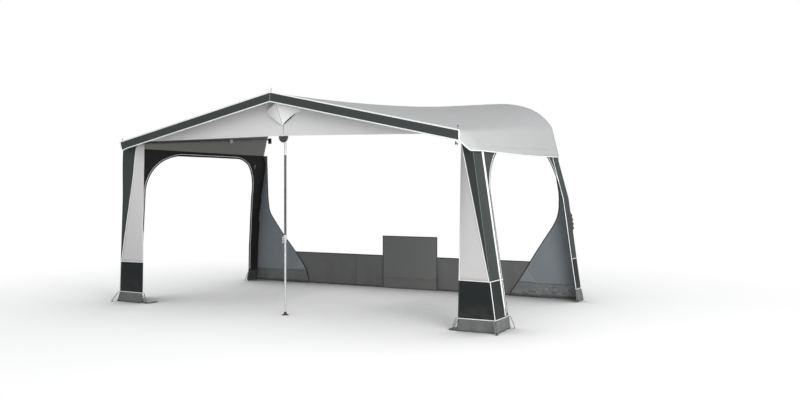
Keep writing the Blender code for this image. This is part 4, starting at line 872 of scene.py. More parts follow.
# Painted light: the gable is the same light grey cloth as the pillar fronts, given a lighter colour to make
# up for the shade under the roof's overhang.
GABLE_CLOTH_PAINTED_LIGHT = cloth_finish("gable_cloth", (0.755, 0.753, 0.753), 0.70, LIGHT_GRIME, fading=0.05, amount=0.0,
                           crease=5.0)
HOOD_CLOTH = cloth_finish("white_cloth", (0.960, 0.960, 0.960), 0.66, LIGHT_GRIME, fading=0.05, amount=0.0)
MUD_CLOTH = cloth_finish("mud_skirt_cloth", (0.142, 0.149, 0.149), 0.52, fading=0.22, reach=0.12, amount=0.35,
                         crease=17.0, crease_depth=0.008, sheen=0.05)
FLAP_CLOTH = cloth_finish("flap_cloth", (0.215, 0.236, 0.255), 0.58, fading=0.18, amount=0.20, crease=6.0)
FLAP_MUD_CLOTH = cloth_finish("flap_mud_cloth", (0.150, 0.160, 0.168), 0.30, fading=0.40, amount=0.15,
                              crease=13.0, crease_depth=0.034, sheen=0.0, coat=1.0)
FLAP_MUD_SMOOTH = cloth_finish("flap_mud_smooth", (0.140, 0.150, 0.152), 0.45, fading=0.30, amount=0.15,
                               crease=8.0, crease_depth=0.012, sheen=0.0, coat=0.20)
PATCH_CLOTH = cloth_finish("patch_cloth", (0.242, 0.264, 0.283), 0.50, fading=0.15, amount=0.15, crease=12.0)
DRAUGHT_CLOTH = cloth_finish("draught_cloth", (0.148, 0.150, 0.150), 0.60, fading=0.20, reach=0.35,
                             amount=0.30, crease=8.0, crease_depth=0.006)
COVER_CLOTH = cloth_finish("wheel_cover_cloth", (0.170, 0.173, 0.172), 0.60, fading=0.16, reach=0.35,
                           amount=0.25, crease=7.0, crease_depth=0.006)
TONGUE_CLOTH = cloth_finish("tongue_cloth", (0.060, 0.057, 0.064), 0.78, fading=0.15, amount=0.0)
# Partly painted shade: a real vent net, made near black so that the openings under the hood's lips show as
# shaded.
NET_PAINTED_SHADE = cloth_finish("vent_net_painted_shade", (0.020, 0.021, 0.021), 0.80, fading=0.10, amount=0.0, threads=700.0)
PIPING_WHITE = cloth_finish("white_piping", (0.930, 0.930, 0.930), 0.45, LIGHT_GRIME, fading=0.05, reach=0.25,
                            amount=0.20, threads=900.0, crease=40.0, crease_depth=0.0005, sheen=0.0)
# Painted shade: a darker copy of the mud skirt cloth for the shaded inner side of the walls' skirts.
MUD_INSIDE_SHADE = cloth_finish("mud_skirt_inside_painted_shade", (0.062, 0.066, 0.066), 0.60, fading=0.22, amount=0.3,
                          crease=14.0)
PALE_BINDING = cloth_finish("pale_binding", (0.800, 0.800, 0.795), 0.60, LIGHT_GRIME, fading=0.06, reach=0.3,
                            amount=0.20, crease=30.0, crease_depth=0.001,
                            stitched=((0.55, 0.55, 0.54), 0.0055))
DARK_BINDING = cloth_finish("dark_binding", (0.024, 0.027, 0.027), 0.70, fading=0.15, amount=0.25,
                            crease=30.0, crease_depth=0.001, stitched=((0.10, 0.11, 0.11), 0.0055))
ARCH_GREY = cloth_finish("arch_inner_piping", (0.780, 0.780, 0.775), 0.55, LIGHT_GRIME, fading=0.05,
                         reach=0.25, amount=0.20, crease=40.0, crease_depth=0.0005, sheen=0.0)
DARK_PIPING = cloth_finish("dark_piping", (0.028, 0.031, 0.031), 0.55, fading=0.15, amount=0.2, crease=40.0,
                           crease_depth=0.0005)
PEAK_TAPE = cloth_finish("peak_tape", (0.420, 0.425, 0.425), 0.60, LIGHT_GRIME, fading=0.06, amount=0.0,
                         crease=30.0, crease_depth=0.001)
ROOF_HEM = cloth_finish("roof_hem", (0.540, 0.550, 0.552), 0.62, LIGHT_GRIME, fading=0.05, amount=0.0,
                        crease=20.0, crease_depth=0.001, stitched=((0.36, 0.37, 0.37), 0.0))
PILLAR_WELT = cloth_finish("pillar_welt", (0.170, 0.185, 0.182), 0.70, fading=0.15, amount=0.2, crease=30.0)
WELT = cloth_finish("fold_welt", (0.085, 0.100, 0.097), 0.70, fading=0.15, amount=0.2, crease=30.0,
                    crease_depth=0.001, stitched=((0.13, 0.14, 0.14), 0.0))
MUD_BINDING = cloth_finish("mud_binding", (0.060, 0.064, 0.064), 0.62, fading=0.2, amount=0.35, crease=30.0,
                           crease_depth=0.001, stitched=((0.16, 0.17, 0.17), 0.0035))
STRAP_WEB = cloth_finish("strap_webbing", (0.150, 0.155, 0.152), 0.72, fading=0.2, reach=0.12, amount=0.35,
                         threads=1100.0, crease=40.0, crease_depth=0.0005,
                         stitched=((0.30, 0.30, 0.29), 0.0025))
ZIP_TAPE = cloth_finish("zip_tape", (0.930, 0.930, 0.930), 0.62, LIGHT_GRIME, fading=0.05, reach=0.3,
                        amount=0.25, threads=1100.0, crease=40.0, crease_depth=0.0005)
ZIP_TEETH = plastic_finish("zip_teeth", (0.92, 0.92, 0.91))
ZINC_STEEL = metal_finish("zinc_steel", (0.660, 0.670, 0.680), (0.470, 0.480, 0.490), 1.0)
DARK_TUBE = metal_finish("dark_steel", (0.100, 0.104, 0.107), (0.065, 0.068, 0.070), 0.55)
ZIP_METAL = metal_finish("zip_metal", (0.560, 0.565, 0.570), (0.420, 0.420, 0.420), 1.0)
BLACK_MOULDED = plastic_finish("black_plastic", (0.026, 0.026, 0.027))
PALE_MOULDED = plastic_finish("pale_plastic", (0.600, 0.620, 0.620))
PALE_CAP = plastic_finish("pale_cap", (0.700, 0.560, 0.550))


# Making cloth and trim

def smooth(low, high, value):
    share = min(1.0, max(0.0, (value - low) / (high - low)))
    return share * share * (3 - 2 * share)


def rumple(point, size, seed=0.0):
    """Soft noise from about -1 to 1, with bumps of about the given size."""
    return noise.noise(Vector(point) / size + Vector((seed, seed * 1.7, seed * 0.3)))


def flipped(point, side):
    return Vector((side * point.x, point.y, point.z))


def laid(rows, ripple, face):
    """Each point of a grid moved out along the cloth's normal by its ripple."""
    deep, wide = len(rows), len(rows[0])
    moved = []
    for v, row in enumerate(rows):
        line = []
        for u, point in enumerate(row):
            across = row[min(u + 1, wide - 1)] - row[max(u - 1, 0)]
            down = rows[min(v + 1, deep - 1)][u] - rows[max(v - 1, 0)][u]
            normal = across.cross(down)
            towards = face(point) if callable(face) else face
            if normal.length < 1e-9:
                line.append(point.copy())
                continue
            normal.normalize()
            if normal.dot(towards) < 0:
                normal = -normal
            line.append(point + normal * ripple(u / (wide - 1), v / (deep - 1), point))
        moved.append(line)
    return moved


def flat_size(rows):
    """The cut of a sheet: its widest row, its longest column, and its area laid flat."""
    wide = max(sum((b - a).length for a, b in zip(row, row[1:])) for row in rows)
    columns = list(zip(*rows))
    long = max(sum((b - a).length for a, b in zip(column, column[1:])) for column in columns)
    area = 0
    for lower, upper in zip(rows, rows[1:]):
        for a, b, c, d in zip(lower, lower[1:], upper[1:], upper):
            area += ((b - a).cross(d - a).length + (b - c).cross(d - c).length) / 2
    return wide, long, area


def add_piece(name, mesh, finishes, body):
    """A new object on a body, moved from the ridge's middle to the middle of the awning's box."""
    mesh.transform(Matrix.Translation((-MIDDLE_X, 0, 0)))
    piece = bpy.data.objects.new(name, mesh)
    bpy.context.scene.collection.objects.link(piece)
    for finish in finishes:
        mesh.materials.append(finish)
    mesh.shade_smooth()
    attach(piece, body)
    return piece


def cloth(name, rows, finish, ripple=None, face=FRONT, body=HOME, thickness=SHEET, pick=None, inner=None):
    """A sewn sheet through rows of points, with its ripples, its thickness and a flat map in metres.

    Its outer side faces the given way, and the other side can have a finish of its own: the darker inner
    finishes given to it are painted shade.
    """
    flat_size(rows)
    if ripple:
        rows = laid(rows, ripple, face)
    deep, wide = len(rows), len(rows[0])
    flat_u = []
    for row in rows:
        run = [0.0]
        for a, b in zip(row, row[1:]):
            run.append(run[-1] + (b - a).length)
        flat_u += [value - run[-1] / 2 for value in run]
    flat_v = [[0.0] * wide]
    for lower, upper in zip(rows, rows[1:]):
        flat_v.append([base + (b - a).length for base, a, b in zip(flat_v[-1], lower, upper)])
    flat_v = [value for row in flat_v for value in row]
    faces = [(v * wide + u, v * wide + u + 1, (v + 1) * wide + u + 1, (v + 1) * wide + u)
             for v in range(deep - 1) for u in range(wide - 1)]
    mesh = bpy.data.meshes.new(name)
    mesh.from_pydata([point for row in rows for point in row], [], faces)
    flat = mesh.uv_layers.new(name="flat")
    for loop in mesh.loops:
        flat.data[loop.index].uv = (flat_u[loop.vertex_index], flat_v[loop.vertex_index])
    finishes = list(finish) if isinstance(finish, (list, tuple)) else [finish]
    if pick:
        for panel in mesh.polygons:
            panel.material_index = pick(panel.center)
    middle = mesh.polygons[len(faces) // 2]
    if middle.normal.dot(face(middle.center) if callable(face) else face) < 0:
        mesh.flip_normals()
    piece = add_piece(name, mesh, finishes + (inner or []), body)
    solid = piece.modifiers.new("cloth", "SOLIDIFY")
    solid.thickness = thickness
    solid.offset = 0
    solid.use_even_offset = False
    solid.material_offset = len(finishes) if inner else 0
    return piece


def round_profile(radius, sides=8):
    turns = [math.tau * i / sides for i in range(sides)]
    return [(radius * math.cos(turn), radius * math.sin(turn)) for turn in turns]


def flat_profile(width, thickness):
    half, thick, cut = width / 2, thickness / 2, thickness / 3
    return [(-half, -thick + cut), (-half + cut, -thick), (half - cut, -thick), (half, -thick + cut),
            (half, thick - cut), (half - cut, thick), (-half + cut, thick), (-half, thick - cut)]


def trim(name, runs, profile, finish, body=HOME):
    """Closed profiles carried along runs of (point, outward direction), as one piece."""
    places, faces, maps = [], [], []
    sides = len(profile)
    for run in runs:
        points = [point for point, _ in run]
        base, travel, previous_out = len(places), 0.0, None
        for i, (point, out) in enumerate(run):
            before, after = points[max(i - 1, 0)], points[min(i + 1, len(points) - 1)]
            along_it = (after - before).normalized()
            out = (out - along_it * out.dot(along_it))
            if out.length > 1e-6:
                out = out.normalized()
            else:
                out = previous_out or along_it.orthogonal().normalized()
            previous_out = out
            across = along_it.cross(out)
            travel += (point - before).length if i else 0.0
            for a, b in profile:
                places.append(point + across * a + out * b)
                maps.append((travel, a))
        for i in range(len(run) - 1):
            for k in range(sides):
                a, b = base + i * sides + k, base + i * sides + (k + 1) % sides
                faces.append((a, b, b + sides, a + sides))
        faces.append(tuple(base + k for k in reversed(range(sides))))
        faces.append(tuple(base + (len(run) - 1) * sides + k for k in range(sides)))
    mesh = bpy.data.meshes.new(name)
    mesh.from_pydata(places, [], faces)
    flat = mesh.uv_layers.new(name="flat")
    for loop in mesh.loops:
        flat.data[loop.index].uv = maps[loop.vertex_index]
    piece = add_piece(name, mesh, [finish], body)
    mesh.set_sharp_from_angle(angle=math.radians(50))
    return piece


def flat_trim(name, runs, finish, label="", body=HOME):
    return trim(name + label, runs, flat_profile(*FLAT_TRIMS[name]), finish, body)


def round_trim(name, runs, finish, label="", body=HOME):
    return trim(name + label, runs, round_profile(*ROUND_TRIMS[name]), finish, body)


def along_line(points, out, lift=0.0):
    """A run for trim: points with one outward direction, lifted off the cloth by a little."""
    out = Vector(out).normalized()
    return [(point + out * lift, out) for point in points]


def between(first, second, steps):
    return [first.lerp(second, share) for share in spread(0, 1, steps)]


def hang(nodes):
    """Hides the solids that a sheet stands for.

    The side walls' cuts are below that, so their declared areas are larger than their cuts: 0.905 for
    0.890 square metres on the left, and 0.740 for 0.737 on the right.
    """
    if nodes:
        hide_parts(*nodes)


def dress(names, finish):
    for name in names:
        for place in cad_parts[name].material_slots:
            place.material = finish


# The roof

def left_reach(depth):
    """How far down the left side drop reaches, a little less again at its front corner."""
    fall = drop_point(1, 0, depth).z - drop_point(1, 1, depth).z
    near_corner = smooth(2.40, 2.62, depth) * smooth(2.80, 2.72, depth)
    return left_drop_share(depth) - LEFT_CORNER_LIFT / fall * near_corner


def hanging(side, share, depth):
    """A point of the side drop: share 0 is the eave and 1 its hem; the left front corner leans in."""
    if side > 0:
        return drop_point(1, share, depth)
    lean = BAND_END_LEAN * share * smooth(2.62, ROOF_DEPTH, depth)
    return drop_point(-1, left_reach(depth) * share, depth) + Vector((lean, 0, 0))


def roof_cloth():
    front = ROOF_DEPTH - SEAM - GAP
    marks = {ROOF_DEPTH - DROP_SIDE_SETBACK, ROOF_DEPTH - DROP_TURN_SETBACK, GABLE_DEPTH}
    depths = sorted(set(spread(ROOF_REAR, front, 52)) | marks)
    rows = []
    for depth in depths:
        row = [hanging(-1, share, depth) for share in spread(1, 0, 8)[:-1]]
        row += [roof_point(-1, across, depth) for across in spread(1, 0, 30)]
        row += [roof_point(1, across, depth) for across in spread(0, 1, 30)[1:]]
        rows.append(row + [hanging(1, share, depth) for share in spread(0, 1, 8)[1:]])

    def ripple(_, __, point):
        depth = depth_of(point)
        reach = abs(point.x) / EAVE_REACH
        inside = smooth(0.05, 0.5, reach) * smooth(1.0, 0.75, reach)
        sag = -0.010 * inside * smooth(0.0, 0.9, depth) * smooth(GABLE_DEPTH - 0.05, GABLE_DEPTH - 0.9, depth)
        rear = 0.0016 * math.sin(math.tau * point.x / 0.11) * smooth(0.22, 0.02, depth) * inside
        drop = smooth(1.0, 1.05, reach) * smooth(0.10, 0.35, ROOF_DEPTH - depth)
        wave = 0.004 * drop * (0.5 + 0.5 * math.sin(depth * 7.1 + 2 * rumple(point, 0.5, 3)))
        return sag + rear + wave

    # The roof's inner side takes a darker finish: painted shade under the roof.
    piece = cloth("roof_cloth", rows, ROOF_CLOTH, ripple, lambda point: Vector((point.x * 0.6, 0, 1)),
                  inner=[ROOF_INSIDE_SHADE])
    hems, stitches, beads, valance = [], [], [], []
    for side in (-1, 1):
        start = front if side > 0 else LEFT_PIPING_START
        hem = [hanging(side, 1, depth) for depth in spread(start, ROOF_REAR, 60)]
        hems.append([(point + Vector((side * 0.002, 0, -0.001)), Vector((side, 0, 0.2))) for point in hem])
        line = [hanging(side, 0.74, depth) for depth in spread(front - 0.55, ROOF_REAR + 0.03, 40)]
        stitches.append([(point + Vector((side * 0.0035, 0, 0.001)), Vector((side, 0, 0.6)))
                         for point in line])
        valance.append([(hanging(side, share, ROOF_REAR + 0.004) + Vector((side * 0.002, 0, 0)),
                         Vector((side, 0, 0.5))) for share in spread(0, 1, 8)])
    rail = [roof_point(-1, across, ROOF_REAR) for across in spread(1, 0, 40)]
    rail += [roof_point(1, across, ROOF_REAR) for across in spread(0, 1, 40)[1:]]
    beads.append([(point + Vector((0, 0, 0.003)), UP) for point in rail])
    hem = round_trim("roof_drop_piping", hems, PIPING_WHITE)
    seam = flat_trim("roof_drop_seams", stitches, ROOF_HEM)
    bead = round_trim("roof_rail_bead", beads + valance, PIPING_WHITE)
    hang(["roof"])


def band_point(x, share):
    """A point of the front band: share 0 is its top edge and 1 its lower edge."""
    top = mix(PEAK_HEIGHT, EAVE_HEIGHT, abs(x) / EAVE_REACH) + CLOTH / 2
    lean = BAND_END_LEAN * share * smooth(EAVE_REACH - 0.12, EAVE_REACH, -x)
    return at(x + lean, ROOF_DEPTH, mix(top, top - BAND_DROP - CLOTH / 2, share))


def front_band_cloth():
    places = sorted(set(spread(-EAVE_REACH, 0, 44)) | set(spread(0, EAVE_REACH, 44)))
    rows = [[band_point(x, share) for x in places] for share in spread(0, 1, 8)]

    def ripple(_, share, point):
        return 0.0018 * share * (0.6 + rumple(point, 0.22, 5)) + 0.0006

    piece = cloth("front_band_cloth", rows, BAND_CLOTH, ripple)
    lift = FRONT * 0.0022
    ends = [[band_point(side * (EAVE_REACH + 0.001), share) + lift for share in spread(0, 1, 6)]
            for side in (-1, 1)]
    lower, upper = [], []
    for side in (-1, 1):
        lower.append([band_point(side * x, 1) + lift for x in spread(0, EAVE_REACH, 40)])
        upper.append([band_point(side * x, 0) + Vector((0, -0.001, 0.0048))
                      for x in spread(0, EAVE_REACH, 40)])
    low = round_trim("band_lower_piping", [along_line(run, (0, -1, 0)) for run in lower], PIPING_WHITE)
    high = round_trim("band_upper_piping", [along_line(run, (0, -1, 0.4)) for run in upper + ends],
                      PIPING_WHITE)
    peak = flat_trim("band_peak_seam", [along_line([band_point(0, share) for share in spread(0.02, 0.97, 6)],
                                                   (0, -1, 0), 0.0022)], PEAK_TAPE)
    hang(["front_band"])


def gable_cloth():
    shy = CLOTH / 2 + 2 * GAP
    table = []
    for across in spread(0, 1, 40):
        point = roof_point(1, across, GABLE_DEPTH)
        table.append((point.x, point.z - shy))
    notch = POLE_RADIUS + CLOTH
    floor = ridge_axis(GABLE_DEPTH).z - notch
    hem = [(-GABLE_REACH, GABLE_HEM_HEIGHT - GABLE_HEM_DIP / 4), (-TONGUE_WIDTH, GABLE_HEM_HEIGHT),
           (TONGUE_WIDTH, GABLE_HEM_HEIGHT), (GABLE_REACH / 3, GABLE_HEM_HEIGHT - GABLE_HEM_DIP / 3),
           (GABLE_REACH, GABLE_HEM_HEIGHT - GABLE_HEM_DIP)]
    marks = {-notch - 0.001, -notch, notch, notch + 0.001}
    places = sorted(set(spread(-GABLE_REACH, GABLE_REACH, 120)) | marks)
    rows = []
    for share in spread(0, 1, 20):
        row = []
        for x in places:
            top = floor if abs(x) <= notch else along(table, abs(x))
            row.append(at(x, GABLE_DEPTH, mix(top, along(hem, x), share)))
        rows.append(row)

    def ripple(_, share, point):
        x = point.x
        left = smooth(-1.25, -1.85, x) * share
        folds = left * 0.010 * (0.5 + 0.5 * math.sin(26 * x + 5 * share))
        calm = smooth(0.24, 0.6, abs(x)) * math.sin(math.pi * share)
        return folds + calm * 0.004 * (1 + rumple(point, 0.5, 7))

    # The gable's lighter cloth is painted light against the shade under the overhang.
    piece = cloth("gable_cloth", rows, GABLE_CLOTH_PAINTED_LIGHT, ripple)
    shown = laid(rows, ripple, FRONT)[-1]
    lower = [(point + Vector((0, 0, BINDING_WIDTH / 2)), FRONT) for point in shown]
    binding = flat_trim("gable_hem_binding", [lower], PALE_BINDING)
    seam_low = at(0, GABLE_DEPTH, GABLE_HEM_HEIGHT + BINDING_WIDTH)
    seam_top = at(0, GABLE_DEPTH, HOOD_TIP_HEIGHT + 0.004)
    seam = flat_trim("gable_middle_seam", [along_line(between(seam_low, seam_top, 8), (0, -1, 0), 0.0014)],
                     WELT_GREY)
    hang(["gable_panel"])


WELT_GREY = cloth_finish("grey_seam", (0.330, 0.330, 0.330), 0.70, LIGHT_GRIME, fading=0.05, amount=0.0,
                         crease=30.0, crease_depth=0.001, stitched=((0.25, 0.25, 0.25), 0.0))


def vent_hood():
    foot = GABLE_DEPTH + CLOTH + 2 * GAP
    crown = at(0, foot + HOOD_PEAK_PROUD, HOOD_PEAK_HEIGHT + CLOTH)
    rows, lips = [], {-1: [], 1: []}
    for share in spread(0, 1, 16):
        middle = at(0, mix(foot + HOOD_TIP_PROUD, foot + HOOD_PEAK_PROUD, share),
                    mix(HOOD_TIP_HEIGHT, HOOD_PEAK_HEIGHT, share))
        halves = {}
        for side in (-1, 1):
            bow = HOOD_LIP * math.sin(math.pi * share) + HOOD_TIP_PROUD * (1 - share)
            reach = HOOD_SIDE_REACH + (HOOD_RIGHT_REACH if side > 0 else 0)
            edge = at(side * mix(CLOTH, reach, share), foot + bow,
                      mix(HOOD_TIP_HEIGHT, HOOD_SIDE_HEIGHT, share))
            edge += Vector((0, 0, 0.016 * math.sin(math.pi * share) * (1 if side > 0 else 0.2)))
            lips[side].append(edge)
            halves[side] = between(edge, middle, 10)
        rows.append(halves[-1] + halves[1][-2::-1])
    for lift in (0.34, 0.67, 1.0):
        top = {}
        for side in (-1, 1):
            edge = at(side * mix(abs(lips[side][-1].x), HOOD_SHOULDER_REACH, lift), foot,
                      mix(lips[side][-1].z, HOOD_SHOULDER_HEIGHT, lift))
            middle = rows[16][10].lerp(crown, lift)
            top[side] = between(edge, middle, 10)
        rows.append(top[-1] + top[1][-2::-1])

    def ripple(u, v, _):
        half = abs(u - 0.5) * 2
        return 0.007 * math.sin(math.pi * half) * math.sin(math.pi * min(1, v * 1.1))

    piece = cloth("vent_hood_cloth", rows, HOOD_CLOTH, ripple)
    runs = []
    for side in (-1, 1):
        out = Vector((side * 0.6, -1, -0.4))
        shoulder = at(side * HOOD_SHOULDER_REACH, foot, HOOD_SHOULDER_HEIGHT)
        runs.append(along_line(lips[side] + [shoulder], out, 0.001))
    lip = round_trim("vent_hood_lips", runs, PIPING_WHITE)
    fold = flat_trim("vent_hood_fold", [along_line([row[10] for row in rows[:17]], (0, -1, 0), 0.0012)],
                     WELT_GREY)
    # The net behind the hood's lips: its near-black colour paints the shade under the lips.
    net = []
    for share in spread(0.02, 0.74, 10):
        height = mix(HOOD_TIP_HEIGHT, HOOD_SHOULDER_HEIGHT, share)
        reach = along([(0, 0.004), (0.76, HOOD_SIDE_REACH - 0.012), (1, HOOD_SHOULDER_REACH - 0.012)], share)
        net.append([at(x, GABLE_DEPTH + 0.0017, height) for x in spread(-reach, reach, 12)])
    mesh = cloth("vent_net_painted_shade", net, NET_PAINTED_SHADE, thickness=0.0005)
    hang([])
    hang(["vent_hood"])


def tongue_cloth():
    hinge = GABLE_HEM_HEIGHT - CLOTH / 2 - GAP
    half = TONGUE_WIDTH / 2
    straight = max(TONGUE_DROP - half, 0)
    rows = []
    for share in spread(0, 1, 12):
        fall = TONGUE_DROP * share
        reach = half
        if fall > straight:
            reach = half * math.sqrt(max(0.0, 1 - ((fall - straight) / (TONGUE_DROP - straight)) ** 2))
        reach = max(reach, 0.003)
        rows.append([at(x, GABLE_DEPTH, hinge - fall) for x in spread(-reach, reach, 12)])
    piece = cloth("tongue_cloth", rows, TONGUE_CLOTH, body="tongue")
    arc = [at(half * math.cos(turn), GABLE_DEPTH,
              hinge - straight - (TONGUE_DROP - straight) * math.sin(turn))
           for turn in spread(0, math.pi, 28)]
    run = [at(half, GABLE_DEPTH, hinge - 0.004)] + arc[1:-1] + [at(-half, GABLE_DEPTH, hinge - 0.004)]
    edge = round_trim("tongue_piping", [along_line(run, (0, -1, 0))], PIPING_WHITE, body="tongue")
    hang(["pole_tongue"])


# The pillars

def fold_of(height, side):
    """The pillar's front fold; the left one runs straight on above the kink, as far as the drop's hem."""
    fold = fold_line(height)
    if side > 0:
        return fold
    kink = fold_line(PILLAR_KINK)
    if height > PILLAR_KINK:
        straight = kink.lerp(fold_line(0), 1 - height / PILLAR_KINK)
        fold = fold.lerp(straight, smooth(PILLAR_TOP, LEFT_FOLD_TOP, height))
    out = LEFT_FOLD_OUT * smooth(1.15, PILLAR_KINK, height) * smooth(PILLAR_TOP, LEFT_FOLD_TOP, height)
    return fold + Vector((out, 0, 0))


def panel_inner(height, side):
    shift = LEFT_PANEL_IN * smooth(BOX_TOP, 0.95, height) if side < 0 else 0
    return inner_line(height) + Vector((shift, 0, 0))


def divide_of(height, side):
    shift = LEFT_DIVIDE_OUT * smooth(1.40, 1.75, height) if side < 0 else 0
    return divide_line(height) + Vector((shift, 0, 0))


def pillar_cloths(label, side):
    face = Vector((side * 0.2, -1, 0))
    low = BOX_TOP + GAP / 2
    ladder = spread(low, PILLAR_KINK, 30)
    rows = []
    for height in ladder + [mix(PILLAR_KINK, PILLAR_TOP, 0.5), PILLAR_TOP, LIGHT_PANEL_TOP]:
        inner = panel_inner(height, side)
        edge = beside(divide_of(height, side), inner, SEAM / 2 + GAP)
        rows.append(between(inner, edge, 12))
    rows = mirrored(rows, side)

    def panel_ripple(u, v, point):
        hollow = 0.004 * math.sin(math.pi * u) * math.sin(math.pi * v)
        return hollow + 0.0022 * math.sin(math.pi * u) * rumple((point.x * 3, point.y, point.z), 0.4, 11)

    front = cloth("pillar_front_cloth_" + label, rows, PANEL_CLOTH, panel_ripple, face)
    inner_edge = [(row[0] + FRONT * 0.0016 + Vector((side * 0.007, 0, 0)), FRONT) for row in rows]
    hem = flat_trim("pillar_inner_hem_", [inner_edge], PALE_BINDING, label)
    hang(["pillar_front_" + label])

    rows = []
    for height in ladder + [mix(PILLAR_KINK, PILLAR_TOP, 0.5), LEFT_FOLD_TOP, PILLAR_TOP]:
        fold = fold_of(height, side)
        edge = beside(divide_of(height, side), fold, SEAM / 2 + GAP)
        rows.append(between(edge, fold, 8) + between(fold, zip_edge(height, False), 8)[1:])
    rows = mirrored(rows, side)

    def side_ripple(u, v, point):
        calm = abs(math.sin(math.tau * u)) * math.sin(math.pi * min(1, v * 1.05))
        return calm * (0.0025 + 0.003 * rumple((point.x * 2, point.y * 2, point.z * 0.7), 0.3, 13))

    wedge = cloth("pillar_side_cloth_" + label, rows, BAND_CLOTH, side_ripple, Vector((side, -1, 0)))
    divide = [(row[0] + Vector((-side * 0.001, -0.003, 0)), face) for row in rows]
    fold = [(row[8], Vector((side, -1, 0))) for row in rows]
    fold = [(point + out.normalized() * 0.0012, out) for point, out in fold]
    divide = round_trim("pillar_divide_piping_", [divide], PIPING_WHITE, label)
    welt = round_trim("pillar_fold_welt_", [fold], PILLAR_WELT, label)
    hang(["pillar_side_" + label])

    rows = []
    for height in spread(BOX_FOOT + GAP / 2, BOX_TOP - GAP / 2, 14):
        fold = fold_line(height)
        rows.append(between(inner_line(height), fold, 12) + between(fold, zip_edge(height, False), 8)[1:])
    rows = mirrored(rows, side)

    def box_ripple(u, v, point):
        calm = math.sin(math.pi * v)
        edge = calm * (abs(math.sin(math.pi * u * 20 / 12)) if u < 0.6 else 0.3)
        return 0.003 * edge + 0.0012 * rumple(point, 0.09, 17) * calm

    box_piece = cloth("pillar_box_cloth_" + label, rows, BOX_CLOTH, box_ripple, Vector((side * 0.4, -1, 0)))
    runs = []
    for height in (BOX_TOP, BOX_FOOT):
        inner, fold, rear = (flipped(point, side) for point in (
            inner_line(height), fold_line(height), zip_line(height)))
        runs.append(along_line(between(inner, fold, 10), (0, -1, 0), 0.0028))
        runs.append(along_line(between(fold, rear, 8), (side, 0, 0), 0.0028))
    corner = [flipped(fold_line(height), side) for height in spread(BOX_FOOT, BOX_TOP, 10)]
    runs.append(along_line(corner, (side, -1, 0), 0.0032))
    piping = round_trim("pillar_box_piping_", runs, PIPING_WHITE, label)
    hem = [(row[0] + FRONT * 0.0014 + Vector((side * 0.006, 0, 0)), FRONT) for row in rows]
    hem = flat_trim("pillar_box_hem_", [hem], DARK_BINDING, label)
    hang(["pillar_box_" + label])


def skirt_rows(side):
    top = BOX_FOOT - GAP / 2
    out = Vector((1, 0, 0))
    rows = []
    for share in (0, HEM_STAND / top, 0.1, 0.2, 0.3, 0.4, 0.5, 0.6, 0.7, 0.8, 0.9, 1):
        height = top * share
        flare = 1 - max(share, HEM_STAND / top)
        inner, fold, rear = inner_line(height), fold_line(height), side_point(ARCH_FOOT_DEPTH, height)
        start = inner + FRONT * (SKIRT_SPLAY * flare)
        corner = fold + (FRONT + out) * (SKIRT_SPLAY * flare)
        end = rear + out * (SKIRT_SPLAY * flare / 3)
        row = []
        for first, second, facing in ((start, corner, FRONT), (corner, end, out)):
            for column in range(26):
                place = column / 26
                calm = math.sin(math.pi * place)
                wave = SKIRT_FOLD * math.sin(SKIRT_WAVES * math.tau * place) * calm
                slant = 0.0120 * calm * math.sin(math.pi * share) * rumple(
                    (place * 0.5 - share * 0.22, share * 0.15, 3 + side), 0.055, 19)
                row.append(first.lerp(second, place) + facing * (wave * flare + slant))
        row.append(end)
        rows.append(row)
    return mirrored(rows, side)


def ladder_strap(top, ground, out, gauge=STRAP_GAUGE):
    """Two narrow webs and their rungs, from a corner of the cloth down to the peg's place."""
    run = ground - top
    across = run.cross(out).normalized() * gauge / 2
    runs = []
    for hand in (-1, 1):
        line = [top.lerp(ground, share) + across * hand * (1 - 0.3 * share)
                + out * 0.004 * math.sin(math.pi * share) for share in spread(0, 1, 8)]
        runs.append([(point, out) for point in line])
    for share in STRAP_RUNGS:
        middle = top.lerp(ground, share) + out * 0.004 * math.sin(math.pi * share)
        wide = across * (1 - 0.3 * share)
        runs.append([(middle - wide, out), (middle, out), (middle + wide, out)])
    return runs


def pillar_foot(label, side):
    rows = skirt_rows(side)
    skirt = cloth("pillar_skirt_cloth_" + label, rows, MUD_CLOTH)
    hem = []
    for point in rows[1]:
        hem.append((point + Vector((side * 0.0008, -0.0012, 0.003)), Vector((side * 0.4, -1, 0))))
    hem = flat_trim("pillar_skirt_hem_", [hem], MUD_BINDING, label)
    ends = ((inner_line(BOX_FOOT), at(*INNER_PEG, PEG_HEIGHT), Vector((-0.6, -1, 0.2))),
            (fold_line(BOX_FOOT), at(*FRONT_PEG, PEG_HEIGHT), Vector((0.5, -1, 0.3))),
            (side_point(ARCH_FOOT_DEPTH, BOX_FOOT), at(*REAR_PEG, PEG_HEIGHT), Vector((1, 0.2, 0.3))))
    runs, tips = [], []
    for top, ground, out in ends:
        out = flipped(out, side).normalized()
        top = placed(top, side) + out * 0.008
        ground = flipped(ground, side)
        runs += ladder_strap(top, ground, out)
        tips.append([(top.lerp(ground, share) + out * 0.001, out) for share in (0.86, 0.93, 1.0)])
    straps = flat_trim("pillar_straps_", runs, STRAP_WEB, label)
    tips = flat_trim("pillar_strap_tips_", tips, BLACK_MOULDED, label)
    hang(["pillar_skirt_" + label])
    rows = []
    for share in spread(0, 1, 8):
        depth = mix(RETURN_FRONT, RETURN_REAR, share)
        reach = 0.085 * math.sin(math.pi * (0.25 + 0.6 * share)) + 0.03
        inner = inner_line(0).x + 0.002
        row = []
        for turn in spread(0, 1, 8):
            lift = 0.0020 + 0.005 * math.sin(math.pi * turn) * (0.5 + 0.5 * math.sin(9 * share + 3 * turn))
            row.append(at(side * (inner - reach * turn), depth, lift))
        rows.append(row)
    fold = cloth("pillar_skirt_return_" + label, rows, MUD_CLOTH)
    hang([])


